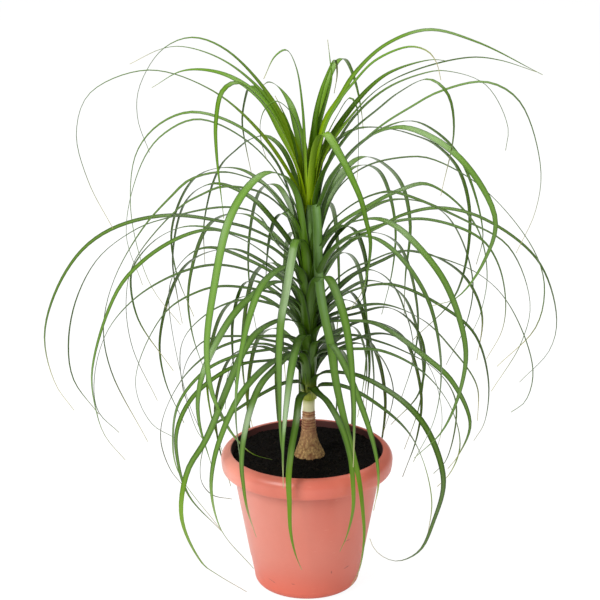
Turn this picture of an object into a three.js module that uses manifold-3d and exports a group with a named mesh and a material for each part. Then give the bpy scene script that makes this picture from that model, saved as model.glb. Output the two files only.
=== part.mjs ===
import * as THREE from 'three';
import { mergeVertices } from 'three/addons/utils/BufferGeometryUtils.js';
import Module from 'manifold-3d';

// A young ponytail palm in a round plastic pot. Millimetres, +Z up, origin at the centre of the pot's foot.
// The viewer stands on the -Y side. A bearing turns from +X (0) through +Y (90, away from the viewer).

const DEGREE = Math.PI / 180;

// Pot: a tapered body and a rim whose skirt stands clear of it, open from below
const POT_HEIGHT = 160;
const RIM_RADIUS = 95;
const MOUTH_RADIUS = 83.5;
const RIM_BAND = 22;
const RIM_TOP_THICKNESS = 7;
const SHOULDER_ROUNDING = 11;
const SHOULDER_TURN = 80;
const LIP_ROUNDING = 2;
const SKIRT_WALL = 2.6;
const SKIRT_DRAFT = 1.5;
const HEM_TAPER = 0.4;
const HEM_BEVEL = 1.8;
const HEM_RISE = 5;
const POT_WALL = 3;
const BODY_TOP_RADIUS = 82;
const FOOT_RADIUS = 56.5;
const FOOT_ROUNDING = 11;
const STEP_HEIGHT = 34;
const STEP_RUN = 2;
const STEP_DEPTH = 0.5;
const FLOOR_THICKNESS = 3.5;
const FLOOR_BEVEL = 6;
const ROUND_SIDES = 40;
const ROUNDING_STEPS = 4;
const DRAIN_HOLES = 6;
const DRAIN_RADIUS = 4;
const DRAIN_RING_RADIUS = 34;
const DRAIN_SIDES = 14;

// Soil: level round the trunk, uneven further out
const CLEARANCE = 0.4;
const SOIL_LEVEL = 152;
const SOIL_RELIEF = 1.6;
const SOIL_WAVES = [
  { share: 0.6, alongX: 0.11, alongY: 0.13, shift: 1.3 },
  { share: 0.4, alongX: 0.31, alongY: 0.29, shift: 0.7 },
];
const LEVEL_RING = 4;
const RELIEF_BLEND = 10;
const SOIL_RINGS = 7;

// Stem: the plant stands a little to the right of the pot's axis
const PLANT_X = 2;
const STUB_DEPTH = 30;
const STUB_RADIUS = 9;
const TRUNK_BASE_RADIUS = 16;
const TRUNK_FLARE_POWER = 1.5;
const TRUNK_FLARE_STEP = 4;
const TOE_STRETCH = 0.14;
const TOE_HEIGHT = 6;
const TOE_SPAN = 22;
const NECK_RADIUS = 8;
const NECK_HEIGHT = 184;
const SCAR_TOP = 206;
const SCAR_COUNT = 7;
const SCAR_DEPTH = 0.5;
const COLLAR_RADIUS = 6.6;
const TRUNK_TOP = 221;
const TRUNK_SIDES = 18;
const STEM_RADIUS = 9;
const STEM_SHOULDER = 14;
const STEM_TOP = 424;
const STEM_SIDES = 8;
const CROWN_BOTTOM = 424.5;
const CROWN_SHOULDER = 22;
const CROWN_TOP = 492;
const CROWN_RADIUS = 6;

// Leaves
const BLADE_STEPS = 12;
const BLADE_KEEL = 1.1;
const ROOT_RADIUS = 5;
const CROWN_ROOT_RADIUS = 2.5;
const BASE_FLARE = 0.3;
const FLARE_END = 0.12;
const TAPER_START = 0.3;
const TAPER_POWER = 1.4;
const TIP_WIDTH = 1.2;
const SWAY_POWER = 6;
// Places between a leaf's root and its crest, where its row starts at the crest, each as a share of the
// way out and a share of the way up
const RISE = [[0.24, 0.6], [0.55, 0.88]];

// Leaves at the back follow a rule instead of rows: they climb the stem and turn by the golden ratio.
const BACK_LEAVES = 24;
const BACK_LOWEST = 240;
const BACK_HIGHEST = 372;
const BACK_BEARING = 36;
const BACK_SPAN = 108;
const BACK_TURN = 0.6180339887;
const BACK_TURN_START = 0.3;
const BACK_WIDTH = 7;
const BACK_REACH = 146;
const BACK_REACH_GAIN = 108;
const BACK_SPREAD_TURN = 0.8;
const BACK_LENGTH_DRAW = 0.7548776662;
const BACK_LENGTH_SPREAD = 0.12;
const BACK_LIFT_DRAW = 0.569840291;
const BACK_LIFT_SPREAD = 16;
const BACK_CREST = 14;
const BACK_CREST_GAIN = 84;
const BACK_CREST_POWER = 2.2;
const BACK_DROP = 88;
const BACK_DROP_GAIN = 45;
const BACK_DROP_POWER = 1.5;
// The crest comes at this share of the reach. The bend beyond it has a share of the reach and of the drop,
// and each place of the tail a share of the reach and how far it lies below the furthest place.
const BACK_CREST_SHARE = 0.5;
const BACK_BEND = [0.82, 0.28];
const BACK_TAIL = [[0.97, 50], [0.84, 96]];

// One row for each leaf: height of its root, bearing, width, and then the places that it passes, each as
// distance from the stem and height. They start at its crest, or else lower, with the places on its way
// up. A last number, where there is one, is how far the tip sways sideways.
const CROWN_LEAVES = [
  [438, 172, 8, [[10, 492], [41, 557], [88, 607], [124, 619], [156, 605], [182, 562], [184, 528],
    [172, 492]]],
  [436, 160, 7, [[14, 492], [42, 548], [77, 580], [110, 596], [146, 602], [169, 597], [205, 578]]],
  [434, 190, 8, [[14, 462], [53, 524], [105, 572], [170, 595], [230, 573], [245, 532], [234, 478],
    [210, 426]]],
  [440, 140, 9, [[14, 480], [40, 516], [61, 542], [96, 560], [135, 566], [182, 559], [228, 533]]],
  [442, 110, 12, [[10, 470], [22, 500], [37, 517], [56, 536], [80, 545], [106, 548], [131, 545],
    [149, 537]]],
  [446, 230, 8, [[36, 616], [55, 612], [72, 592]]],
  [444, 50, 9, [[10, 527], [17, 553], [27, 573], [43, 592], [47, 576], [42, 555]]],
  [450, 45, 7, [[10, 510], [34, 575], [32, 592], [28, 616]]],
  [446, 70, 9, [[10, 500], [50, 557], [90, 577], [118, 573], [154, 537], [176, 495], [180, 479]]],
  [440, 86, 9, [[60, 478], [88, 462], [102, 425]]],
  [438, 300, 11, [[34, 527], [69, 507], [90, 490], [107, 473], [117, 454], [126, 434], [113, 380],
    [88, 350]]],
  [442, 2, 11, [[17, 529], [33, 557], [48, 583], [80, 614], [124, 630], [175, 617], [246, 581]]],
  [444, 342, 8, [[18, 526], [34, 558], [49, 578], [73, 604], [110, 621], [129, 617], [138, 606],
    [143, 588]]],
  [440, 20, 8, [[14, 492], [49, 544], [80, 572], [103, 582], [140, 588], [158, 585]]],
  [436, 351, 9, [[14, 490], [44, 538], [75, 572], [117, 594], [170, 608], [200, 606], [238, 595]]],
  [436, 214, 9, [[12, 478], [49, 552], [90, 587], [107, 580], [115, 550], [115, 518], [107, 444]]],
  [438, 124, 9, [[10, 468], [43, 503], [75, 530], [114, 547], [124, 532], [131, 504], [125, 480],
    [108, 436]]],
  [448, 200, 7, [[8, 500], [13, 530], [22, 547], [37, 558], [49, 550], [54, 536], [53, 515], [47, 495]]],
  [442, 338, 8, [[14, 500], [31, 540], [47, 563], [54, 553], [56, 530], [56, 495], [54, 465]]],
  [442, 190, 7, [[12, 490], [20, 525], [29, 548], [36, 562]]],
];

const STEM_LEAVES = [
  // Upper right
  [406, 15, 8, [[16, 470], [45, 528], [84, 562], [128, 577], [150, 578], [196, 560], [223, 511],
    [221, 485]]],
  [404, 325, 11, [[12, 460], [46, 520], [90, 561], [114, 581], [148, 599], [170, 588], [179, 553],
    [165, 479]]],
  [402, 355, 9, [[16, 460], [38, 492], [75, 528], [107, 550], [138, 568], [186, 579], [220, 560],
    [245, 488], [241, 440], [222, 393]]],
  [400, 30, 8, [[123, 517], [160, 500], [195, 462], [226, 372], [218, 338]]],
  [398, 325, 11, [[14, 440], [43, 494], [84, 532], [124, 544], [187, 522], [230, 466], [219, 420],
    [187, 373], [157, 358]]],
  [396, 35, 8, [[17, 486], [31, 502], [47, 511], [63, 515], [87, 513], [114, 506], [135, 498],
    [171, 480], [206, 443], [222, 381], [204, 300], [143, 257]]],
  [394, 350, 9, [[108, 499], [130, 498], [176, 476], [215, 440], [245, 396], [254, 360], [246, 317],
    [206, 270]]],
  [398, 60, 9, [[119, 465], [183, 436], [219, 402], [235, 362], [236, 340], [226, 296], [224, 246]]],
  [404, 145, 9, [[14, 455], [24, 481], [33, 495], [44, 504], [57, 508], [77, 501], [96, 486],
    [115, 468], [128, 444], [137, 416], [142, 389], [141, 345]]],
  // Middle right
  [374, 20, 9, [[15, 399], [36, 416], [64, 430], [104, 446], [137, 450], [195, 398], [211, 339],
    [204, 293], [195, 273]]],
  [376, 340, 10, [[24, 420], [47, 444], [75, 460], [95, 464], [177, 440], [221, 418], [246, 360],
    [238, 314], [207, 255]]],
  [352, 0, 10, [[23, 380], [44, 398], [82, 419], [98, 428], [137, 437], [185, 426], [246, 379],
    [269, 314], [263, 276], [231, 238]]],
  [366, 10, 8, [[126, 418], [189, 393], [210, 363], [220, 319], [217, 285], [200, 252]]],
  [366, 320, 10, [[20, 400], [43, 424], [91, 443], [114, 441], [138, 430], [183, 392], [210, 331],
    [207, 288], [184, 230], [147, 188]]],
  [340, 305, 11, [[30, 385], [66, 418], [111, 433], [146, 430], [182, 414], [213, 386], [232, 328],
    [224, 271], [189, 209]]],
  [330, 345, 9, [[29, 357], [46, 372], [68, 383], [90, 394], [110, 398], [182, 381], [217, 351],
    [247, 278], [240, 240], [225, 226]]],
  [316, 30, 9, [[24, 330], [46, 347], [65, 355], [91, 362], [128, 369], [179, 346], [210, 316],
    [228, 273], [222, 222]]],
  [316, 350, 8, [[20, 325], [45, 345], [90, 356], [151, 331], [181, 305], [197, 254], [194, 204],
    [183, 182]]],
  [300, 15, 9, [[24, 312], [80, 321], [129, 299], [163, 263], [195, 214], [197, 172]]],
  [304, 30, 7, [[101, 307], [135, 281], [150, 247], [144, 197], [107, 166]]],
  [298, 330, 10, [[85, 320], [146, 292], [175, 272], [197, 230], [184, 190], [172, 172]]],
  [276, 5, 8, [[20, 286], [47, 291], [70, 285], [100, 273], [140, 248], [163, 210], [154, 140],
    [140, 124]]],
  [270, 345, 9, [[80, 282], [115, 270], [142, 249], [162, 218], [170, 180], [160, 148], [146, 130]]],
  [262, 45, 7, [[75, 264], [115, 237], [137, 187], [120, 141]]],
  [312, 50, 7, [[67, 326], [91, 300], [103, 258], [107, 225], [101, 174]]],
  [376, 45, 11, [[14, 384], [27, 397], [40, 404], [58, 404], [72, 395], [82, 378], [89, 357],
    [91, 336], [87, 317], [76, 308]]],
  [318, 40, 7, [[25, 326], [52, 342], [70, 349], [88, 349], [111, 336], [130, 313], [142, 287],
    [151, 264], [155, 242], [153, 222]]],
  [268, 35, 7, [[94, 275], [124, 263], [166, 222], [185, 172], [187, 137], [178, 108]]],
  [250, 60, 7, [[91, 275], [112, 262], [130, 230], [133, 200], [124, 166]]],
  [244, 325, 10, [[68, 259], [125, 241], [155, 215], [175, 165], [163, 112], [147, 75], [120, 55],
    [102, 54], [88, 61], [82, 72]]],
  [230, 340, 9, [[36, 238], [60, 232], [109, 201], [129, 172], [143, 119], [139, 74]]],
  // Left
  [388, 140, 12, [[10, 400], [19, 414], [26, 421], [36, 424], [46, 416], [53, 400], [58, 378],
    [61, 349], [61, 332]]],
  [404, 170, 8, [[125, 537], [162, 522], [188, 489], [196, 430], [187, 372], [173, 335], [143, 296]]],
  [400, 190, 10, [[14, 438], [58, 507], [117, 540], [154, 526], [177, 497], [196, 420], [180, 361]]],
  [402, 205, 9, [[16, 424], [51, 468], [74, 481], [100, 489], [136, 485], [158, 469], [189, 440],
    [223, 388], [236, 338], [229, 288], [190, 201]]],
  [368, 150, 10, [[14, 382], [51, 422], [73, 438], [119, 447], [155, 423], [175, 355], [169, 303],
    [164, 277]]],
  [378, 185, 9, [[18, 420], [31, 440], [52, 456], [92, 463], [116, 454], [137, 442], [187, 383],
    [197, 341], [192, 286], [166, 222]]],
  [362, 200, 10, [[18, 380], [38, 403], [46, 418], [57, 435], [72, 443], [100, 448], [160, 442],
    [189, 435], [231, 409], [257, 367], [268, 318], [264, 276], [238, 233]]],
  [352, 184, 10, [[18, 385], [58, 413], [90, 423], [149, 432], [204, 421], [241, 397], [271, 352],
    [286, 298], [276, 243], [257, 212]]],
  [356, 165, 8, [[135, 406], [170, 390], [196, 361], [203, 342], [196, 294], [156, 236]]],
  [350, 210, 10, [[30, 370], [47, 388], [72, 409], [90, 420], [107, 428], [126, 432], [160, 427],
    [199, 409], [228, 382], [259, 301], [255, 251], [246, 224], [224, 193]]],
  [334, 155, 8, [[34, 353], [64, 366], [117, 377], [143, 367], [167, 336], [172, 302], [151, 194],
    [131, 149]]],
  [326, 195, 10, [[30, 345], [51, 363], [71, 374], [107, 382], [149, 374], [192, 351], [222, 317],
    [237, 266], [234, 228], [212, 201]]],
  [320, 175, 8, [[95, 346], [123, 338], [158, 313], [192, 232], [175, 183], [150, 167]]],
  [302, 170, 8, [[70, 329], [105, 316], [139, 281], [144, 243], [127, 173], [117, 158]]],
  [290, 130, 7, [[93, 331], [114, 321], [133, 276], [134, 225], [127, 179]]],
  [252, 150, 7, [[58, 272], [85, 262], [105, 225], [108, 185]]],
  [282, 190, 9, [[52, 294], [76, 291], [103, 282], [136, 255], [160, 211], [164, 180], [154, 145],
    [142, 127]]],
  [272, 202, 8, [[51, 282], [86, 280], [120, 268], [150, 236], [158, 195], [153, 157], [104, 78]]],
  [262, 208, 8, [[54, 272], [90, 272], [129, 255], [147, 238], [160, 210], [159, 174], [147, 133],
    [108, 82]]],
  [238, 200, 8, [[27, 240], [54, 231], [97, 209], [114, 199], [122, 177], [126, 155], [124, 136],
    [112, 120], [90, 112]]],
  [270, 165, 7, [[80, 284], [117, 276], [138, 253], [146, 220], [140, 198]]],
  // Front
  [402, 230, 11, [[68, 491], [99, 481], [128, 452], [152, 385], [164, 326], [158, 276], [134, 228],
    [120, 209], [95, 184], [62, 166]]],
  [414, 300, 12, [[12, 446], [17, 425], [19, 390], [24, 350], [35, 321], [45, 300], [57, 260],
    [70, 231], [93, 190], [107, 163], [116, 127], [119, 100], [110, 58], [92, 30]]],
  [386, 250, 10, [[14, 396], [26, 408], [41, 412], [54, 393], [69, 366], [85, 338], [91, 306],
    [91, 256], [88, 207], [79, 169]]],
  [342, 240, 11, [[52, 385], [96, 379], [122, 352], [144, 305], [152, 258], [145, 202], [140, 179]]],
  [324, 222, 11, [[54, 364], [103, 344], [145, 295], [156, 265], [156, 235], [139, 177]]],
  [334, 288, 11, [[75, 378], [125, 345], [150, 276], [152, 226], [150, 198]]],
  [288, 230, 10, [[54, 323], [95, 314], [167, 223], [196, 197], [207, 150], [177, 85], [154, 63],
    [106, 24]]],
  [286, 259, 10, [[60, 306], [97, 288], [138, 231], [142, 204], [140, 172]]],
  [274, 301, 9, [[45, 297], [77, 278], [132, 213], [143, 174], [134, 136]]],
  [264, 238, 10, [[53, 284], [91, 282], [140, 264], [176, 228], [187, 207], [191, 180], [176, 132],
    [113, 59]]],
  [272, 244, 9, [[50, 285], [82, 281], [114, 275], [136, 259], [156, 225], [160, 200], [157, 180],
    [149, 148], [128, 105]]],
  [234, 293, 8, [[51, 233], [89, 218], [112, 194], [120, 165], [121, 138], [106, 100], [87, 72]]],
  [224, 258, 8, [[50, 236], [68, 214], [92, 194], [107, 170], [108, 142], [111, 112], [97, 76],
    [84, 52]], 10],
];

// Points closer than this are one point.
const SAME_POINT = 1e-4;

const wasm = await Module();
wasm.setup();

function toSolid(geometry) {
  geometry.deleteAttribute('normal');
  geometry.deleteAttribute('uv');
  const merged = mergeVertices(geometry, SAME_POINT);
  return new wasm.Manifold(new wasm.Mesh({
    numProp: 3,
    vertProperties: new Float32Array(merged.attributes.position.array),
    triVerts: new Uint32Array(merged.index.array),
  }));
}

function toGeometry(solid) {
  const mesh = solid.getMesh();
  const geometry = new THREE.BufferGeometry();
  geometry.setAttribute('position', new THREE.BufferAttribute(mesh.vertProperties, 3));
  geometry.setIndex(new THREE.BufferAttribute(mesh.triVerts, 1));
  return geometry;
}

function namedMesh(name, geometry, color, roughness) {
  const mesh = new THREE.Mesh(geometry, new THREE.MeshStandardMaterial({ color, roughness, metalness: 0 }));
  mesh.name = name;
  return mesh;
}

// A lathe turns about Y, so the turned shape is tipped up to stand along +Z.
function turned(points, sides) {
  return new THREE.LatheGeometry(points, sides).rotateX(Math.PI / 2);
}

function arc(centreX, centreZ, radius, fromDegrees, toDegrees, steps) {
  const points = [];
  for (let i = 0; i <= steps; i += 1) {
    const angle = (fromDegrees + (toDegrees - fromDegrees) * i / steps) * DEGREE;
    points.push(new THREE.Vector2(centreX + radius * Math.cos(angle), centreZ + radius * Math.sin(angle)));
  }
  return points;
}

function clampShare(value) {
  return Math.min(1, Math.max(0, value));
}

// Pot

const RIM_BOTTOM = POT_HEIGHT - RIM_BAND;
const BODY_SLOPE = (BODY_TOP_RADIUS - FOOT_RADIUS) / RIM_BOTTOM;

function bodyRadius(z) {
  return FOOT_RADIUS + BODY_SLOPE * z;
}

function makePot() {
  const grooveTop = POT_HEIGHT - RIM_TOP_THICKNESS;
  const stepTop = STEP_HEIGHT + STEP_RUN;
  const bevelTop = FLOOR_THICKNESS + FLOOR_BEVEL;
  const footCentre = bodyRadius(FOOT_ROUNDING) - FOOT_ROUNDING;
  const shoulderCentre = new THREE.Vector2(
    RIM_RADIUS - SHOULDER_ROUNDING,
    POT_HEIGHT - SHOULDER_ROUNDING,
  );
  const lipCentre = new THREE.Vector2(MOUTH_RADIUS + LIP_ROUNDING, POT_HEIGHT - LIP_ROUNDING);
  const profile = [
    new THREE.Vector2(0, 0),
    ...arc(footCentre, FOOT_ROUNDING, FOOT_ROUNDING, -90, 0, ROUNDING_STEPS),
    new THREE.Vector2(bodyRadius(STEP_HEIGHT), STEP_HEIGHT),
    new THREE.Vector2(bodyRadius(stepTop) + STEP_DEPTH, stepTop),
    new THREE.Vector2(bodyRadius(grooveTop), grooveTop),
    new THREE.Vector2(RIM_RADIUS - SKIRT_WALL - SKIRT_DRAFT, grooveTop),
    new THREE.Vector2(RIM_RADIUS - SKIRT_WALL - HEM_TAPER, RIM_BOTTOM),
    new THREE.Vector2(RIM_RADIUS - HEM_BEVEL, RIM_BOTTOM),
    new THREE.Vector2(RIM_RADIUS - HEM_TAPER, RIM_BOTTOM + HEM_RISE),
    ...arc(shoulderCentre.x, shoulderCentre.y, SHOULDER_ROUNDING, 0, SHOULDER_TURN, ROUNDING_STEPS),
    ...arc(lipCentre.x, lipCentre.y, LIP_ROUNDING, 90, 180, ROUNDING_STEPS),
    new THREE.Vector2(bodyRadius(RIM_BOTTOM) - POT_WALL, RIM_BOTTOM),
    new THREE.Vector2(bodyRadius(bevelTop) - POT_WALL, bevelTop),
    new THREE.Vector2(bodyRadius(FLOOR_THICKNESS) - POT_WALL - FLOOR_BEVEL, FLOOR_THICKNESS),
    new THREE.Vector2(0, FLOOR_THICKNESS),
  ];
  let pot = toSolid(turned(profile, ROUND_SIDES));
  for (let i = 0; i < DRAIN_HOLES; i += 1) {
    const bearing = i * 360 / DRAIN_HOLES * DEGREE;
    const drill = new THREE.CylinderGeometry(DRAIN_RADIUS, DRAIN_RADIUS, 4 * FLOOR_THICKNESS, DRAIN_SIDES);
    drill.rotateX(Math.PI / 2);
    drill.translate(DRAIN_RING_RADIUS * Math.cos(bearing), DRAIN_RING_RADIUS * Math.sin(bearing), 0);
    pot = pot.subtract(toSolid(drill));
  }
  return toGeometry(pot);
}

// Trunk and soil

function stubRadius(z) {
  const depth = Math.max(0, SOIL_LEVEL - z);
  return TRUNK_BASE_RADIUS - (TRUNK_BASE_RADIUS - STUB_RADIUS) * depth / STUB_DEPTH;
}

function trunkRadius(z) {
  const rise = (z - SOIL_LEVEL) / (NECK_HEIGHT - SOIL_LEVEL);
  if (rise <= 0) {
    return stubRadius(z);
  }
  if (rise < 1) {
    return NECK_RADIUS + (TRUNK_BASE_RADIUS - NECK_RADIUS) * (1 - rise) ** TRUNK_FLARE_POWER;
  }
  const along = Math.min(1, (z - NECK_HEIGHT) / (SCAR_TOP - NECK_HEIGHT));
  const scar = z < SCAR_TOP ? SCAR_DEPTH * Math.cos(along * SCAR_COUNT * 2 * Math.PI) : 0;
  return NECK_RADIUS + (COLLAR_RADIUS - NECK_RADIUS) * along + scar;
}

function trunkHeights() {
  const heights = [SOIL_LEVEL - STUB_DEPTH, SOIL_LEVEL];
  for (let z = SOIL_LEVEL + TRUNK_FLARE_STEP; z < NECK_HEIGHT; z += TRUNK_FLARE_STEP) {
    heights.push(z);
  }
  const scarStep = (SCAR_TOP - NECK_HEIGHT) / (2 * SCAR_COUNT);
  for (let i = 0; i <= 2 * SCAR_COUNT; i += 1) {
    heights.push(NECK_HEIGHT + i * scarStep);
  }
  heights.push(TRUNK_TOP);
  return heights;
}

// The swollen foot of the trunk reaches a little further to the right than to the left.
function stretchToe(geometry) {
  const position = geometry.attributes.position;
  for (let i = 0; i < position.count; i += 1) {
    const z = position.getZ(i);
    const x = position.getX(i);
    const foot = clampShare(1 - Math.abs(z - SOIL_LEVEL - TOE_HEIGHT) / TOE_SPAN);
    if (z > SOIL_LEVEL && x > 0) {
      position.setX(i, x * (1 + TOE_STRETCH * foot));
    }
  }
  return geometry;
}

function makeTrunk() {
  const heights = trunkHeights();
  const profile = [new THREE.Vector2(0, heights[0])];
  for (const z of heights) {
    profile.push(new THREE.Vector2(trunkRadius(z), z));
  }
  profile.push(new THREE.Vector2(0, TRUNK_TOP));
  return toGeometry(toSolid(stretchToe(turned(profile, TRUNK_SIDES)).translate(PLANT_X, 0, 0)));
}

function soilRelief(x, y) {
  const waves = SOIL_WAVES.map(({ share, alongX, alongY, shift }) => (
    share * Math.sin(x * alongX + shift) * Math.cos(y * alongY - shift)
  ));
  return SOIL_RELIEF * waves.reduce((sum, wave) => sum + wave, 0);
}

// The soil is turned about the pot's axis. Then its hole and the rings of its top move over to the trunk,
// and the rings take on the relief.
function makeSoil() {
  const holeTop = stubRadius(SOIL_LEVEL) + CLEARANCE;
  const holeBottom = SOIL_LEVEL - STUB_DEPTH - CLEARANCE;
  const bottom = FLOOR_THICKNESS + CLEARANCE;
  const bevelTop = bottom + FLOOR_BEVEL;
  const outerTop = bodyRadius(SOIL_LEVEL - SOIL_RELIEF) - POT_WALL - CLEARANCE;
  const profile = [
    new THREE.Vector2(0, bottom),
    new THREE.Vector2(bodyRadius(bottom) - POT_WALL - FLOOR_BEVEL - CLEARANCE, bottom),
    new THREE.Vector2(bodyRadius(bevelTop) - POT_WALL - CLEARANCE, bevelTop),
  ];
  for (let i = 0; i <= SOIL_RINGS; i += 1) {
    profile.push(new THREE.Vector2(outerTop + (holeTop - outerTop) * i / SOIL_RINGS, SOIL_LEVEL));
  }
  profile.push(new THREE.Vector2(STUB_RADIUS + CLEARANCE, holeBottom));
  profile.push(new THREE.Vector2(0, holeBottom));
  const geometry = turned(profile, ROUND_SIDES);
  const position = geometry.attributes.position;
  for (let i = 0; i < position.count; i += 1) {
    const x = position.getX(i);
    const y = position.getY(i);
    const z = position.getZ(i);
    const radius = Math.hypot(x, y);
    const follow = clampShare((outerTop - radius) / (outerTop - holeTop));
    const onTop = z > SOIL_LEVEL - SAME_POINT;
    if (onTop) {
      const blend = clampShare((radius - holeTop - LEVEL_RING) / RELIEF_BLEND);
      position.setZ(i, SOIL_LEVEL + soilRelief(x, y) * blend);
    }
    if (onTop || z > bevelTop + SAME_POINT) {
      position.setX(i, x + PLANT_X * follow);
    }
  }
  return toGeometry(toSolid(geometry));
}

// Leaves

function fraction(value) {
  return value - Math.floor(value);
}

// How a leaf at the back hangs depends on how high it grows: low ones are short and droop from the stem,
// those in the middle reach furthest, and high ones stand up before they fall.
function backLeaf(index) {
  const climb = index / (BACK_LEAVES - 1);
  const late = climb ** BACK_CREST_POWER;
  const height = BACK_LOWEST + (BACK_HIGHEST - BACK_LOWEST) * climb;
  const length = 1 + BACK_LENGTH_SPREAD * (fraction(index * BACK_LENGTH_DRAW) - 0.5);
  const lift = BACK_LIFT_SPREAD * (fraction(index * BACK_LIFT_DRAW) - 0.5);
  const reach = length * (BACK_REACH + BACK_REACH_GAIN * Math.sin(Math.PI * BACK_SPREAD_TURN * late));
  const crest = height + BACK_CREST + BACK_CREST_GAIN * late + lift * climb;
  const drop = BACK_DROP + BACK_DROP_GAIN * Math.sin(Math.PI * climb ** BACK_DROP_POWER);
  const bearing = BACK_BEARING + BACK_SPAN * fraction(index * BACK_TURN + BACK_TURN_START);
  const [bendReach, bendDrop] = BACK_BEND;
  return [height, bearing, BACK_WIDTH, [
    [reach * BACK_CREST_SHARE, crest],
    [reach * bendReach, crest - drop * bendDrop],
    [reach, crest - drop],
    ...BACK_TAIL.map(([share, fall]) => [reach * share, crest - drop - fall]),
  ]];
}

// A leaf whose places start with its crest leaves the stem steeply, through the two places of its rise.
function leafPath([rootHeight, bearing, , places, sway = 0]) {
  const rootRadius = rootHeight < STEM_TOP ? ROOT_RADIUS : CROWN_ROOT_RADIUS;
  const [crestReach, crestHeight] = places[0];
  const rise = crestHeight > places[1][1] ? RISE.map(([reachShare, heightShare]) => [
    rootRadius + reachShare * (crestReach - rootRadius),
    rootHeight + heightShare * (crestHeight - rootHeight),
  ]) : [];
  const along = [[rootRadius, rootHeight], ...rise, ...places];
  const outward = new THREE.Vector3(Math.cos(bearing * DEGREE), Math.sin(bearing * DEGREE), 0);
  const sideways = new THREE.Vector3(-outward.y, outward.x, 0);
  const points = along.map(([reach, height], index) => new THREE.Vector3(PLANT_X, 0, height)
    .addScaledVector(outward, reach)
    .addScaledVector(sideways, sway * (index / (along.length - 1)) ** SWAY_POWER));
  return new THREE.CatmullRomCurve3(points, false, 'centripetal');
}

function bladeWidth(along) {
  const flare = 1 + BASE_FLARE * clampShare(1 - along / FLARE_END);
  const taper = clampShare((along - TAPER_START) / (1 - TAPER_START));
  return flare * (1 - taper ** TAPER_POWER);
}

// A blade has three sides: a flat upper face, as wide as the leaf, and a keel below its middle.
function makeBlade(row) {
  const [, bearing, width] = row;
  const path = leafPath(row);
  const side = new THREE.Vector3(-Math.sin(bearing * DEGREE), Math.cos(bearing * DEGREE), 0);
  const vertices = [];
  const triangles = [];
  for (let i = 0; i < BLADE_STEPS; i += 1) {
    const along = i / BLADE_STEPS;
    const middle = path.getPointAt(along);
    const below = new THREE.Vector3().crossVectors(side, path.getTangentAt(along)).normalize();
    const half = Math.max(TIP_WIDTH, width * bladeWidth(along)) / 2;
    const left = middle.clone().addScaledVector(side, half);
    const right = middle.clone().addScaledVector(side, -half);
    const keel = middle.clone().addScaledVector(below, BLADE_KEEL);
    vertices.push(...left.toArray(), ...keel.toArray(), ...right.toArray());
  }
  vertices.push(...path.getPointAt(1).toArray());
  const tip = 3 * BLADE_STEPS;
  triangles.push(0, 1, 2);
  for (let i = 0; i < BLADE_STEPS - 1; i += 1) {
    for (let k = 0; k < 3; k += 1) {
      const a = 3 * i + k;
      const b = 3 * i + (k + 1) % 3;
      triangles.push(a, a + 3, b, b, a + 3, b + 3);
    }
  }
  for (let k = 0; k < 3; k += 1) {
    triangles.push(tip - 3 + k, tip, tip - 3 + (k + 1) % 3);
  }
  const geometry = new THREE.BufferGeometry();
  geometry.setAttribute('position', new THREE.Float32BufferAttribute(vertices, 3));
  geometry.setIndex(triangles);
  return toSolid(geometry);
}

// Fused leaves can seal a small hollow between them. Keeping only the outer shell fills it.
function outerShell(solid) {
  return solid.decompose().reduce((best, piece) => (piece.volume() > best.volume() ? piece : best));
}

function fuseLeaves(core, rows) {
  let fused = toSolid(core.translate(PLANT_X, 0, 0));
  for (const row of rows) {
    fused = fused.add(makeBlade(row));
  }
  return toGeometry(outerShell(fused));
}

function makeLeafyStem() {
  const profile = [
    new THREE.Vector2(0, TRUNK_TOP + CLEARANCE),
    new THREE.Vector2(COLLAR_RADIUS, TRUNK_TOP + CLEARANCE),
    new THREE.Vector2(STEM_RADIUS, TRUNK_TOP + STEM_SHOULDER),
    new THREE.Vector2(STEM_RADIUS, STEM_TOP),
    new THREE.Vector2(0, STEM_TOP),
  ];
  const backLeaves = Array.from({ length: BACK_LEAVES }, (_, index) => backLeaf(index));
  return fuseLeaves(turned(profile, STEM_SIDES), [...STEM_LEAVES, ...backLeaves]);
}

function makeCrown() {
  const profile = [
    new THREE.Vector2(0, CROWN_BOTTOM),
    new THREE.Vector2(CROWN_RADIUS, CROWN_BOTTOM),
    new THREE.Vector2(CROWN_RADIUS, CROWN_BOTTOM + CROWN_SHOULDER),
    new THREE.Vector2(0, CROWN_TOP),
  ];
  return fuseLeaves(turned(profile, STEM_SIDES), CROWN_LEAVES);
}

const palm = new THREE.Group();
palm.add(
  namedMesh('pot', makePot(), 0xe07a62, 0.5),
  namedMesh('soil', makeSoil(), 0x1c1a16, 0.95),
  namedMesh('trunk', makeTrunk(), 0x9a7048, 0.85),
  namedMesh('leafy_stem', makeLeafyStem(), 0x4f7a2c, 0.5),
  namedMesh('crown_leaves', makeCrown(), 0x7fa33c, 0.5),
);

export default palm;
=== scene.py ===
import math
import random

import bpy
from bpy.props import FloatProperty, FloatVectorProperty, IntProperty, PointerProperty
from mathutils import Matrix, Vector, noise


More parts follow.
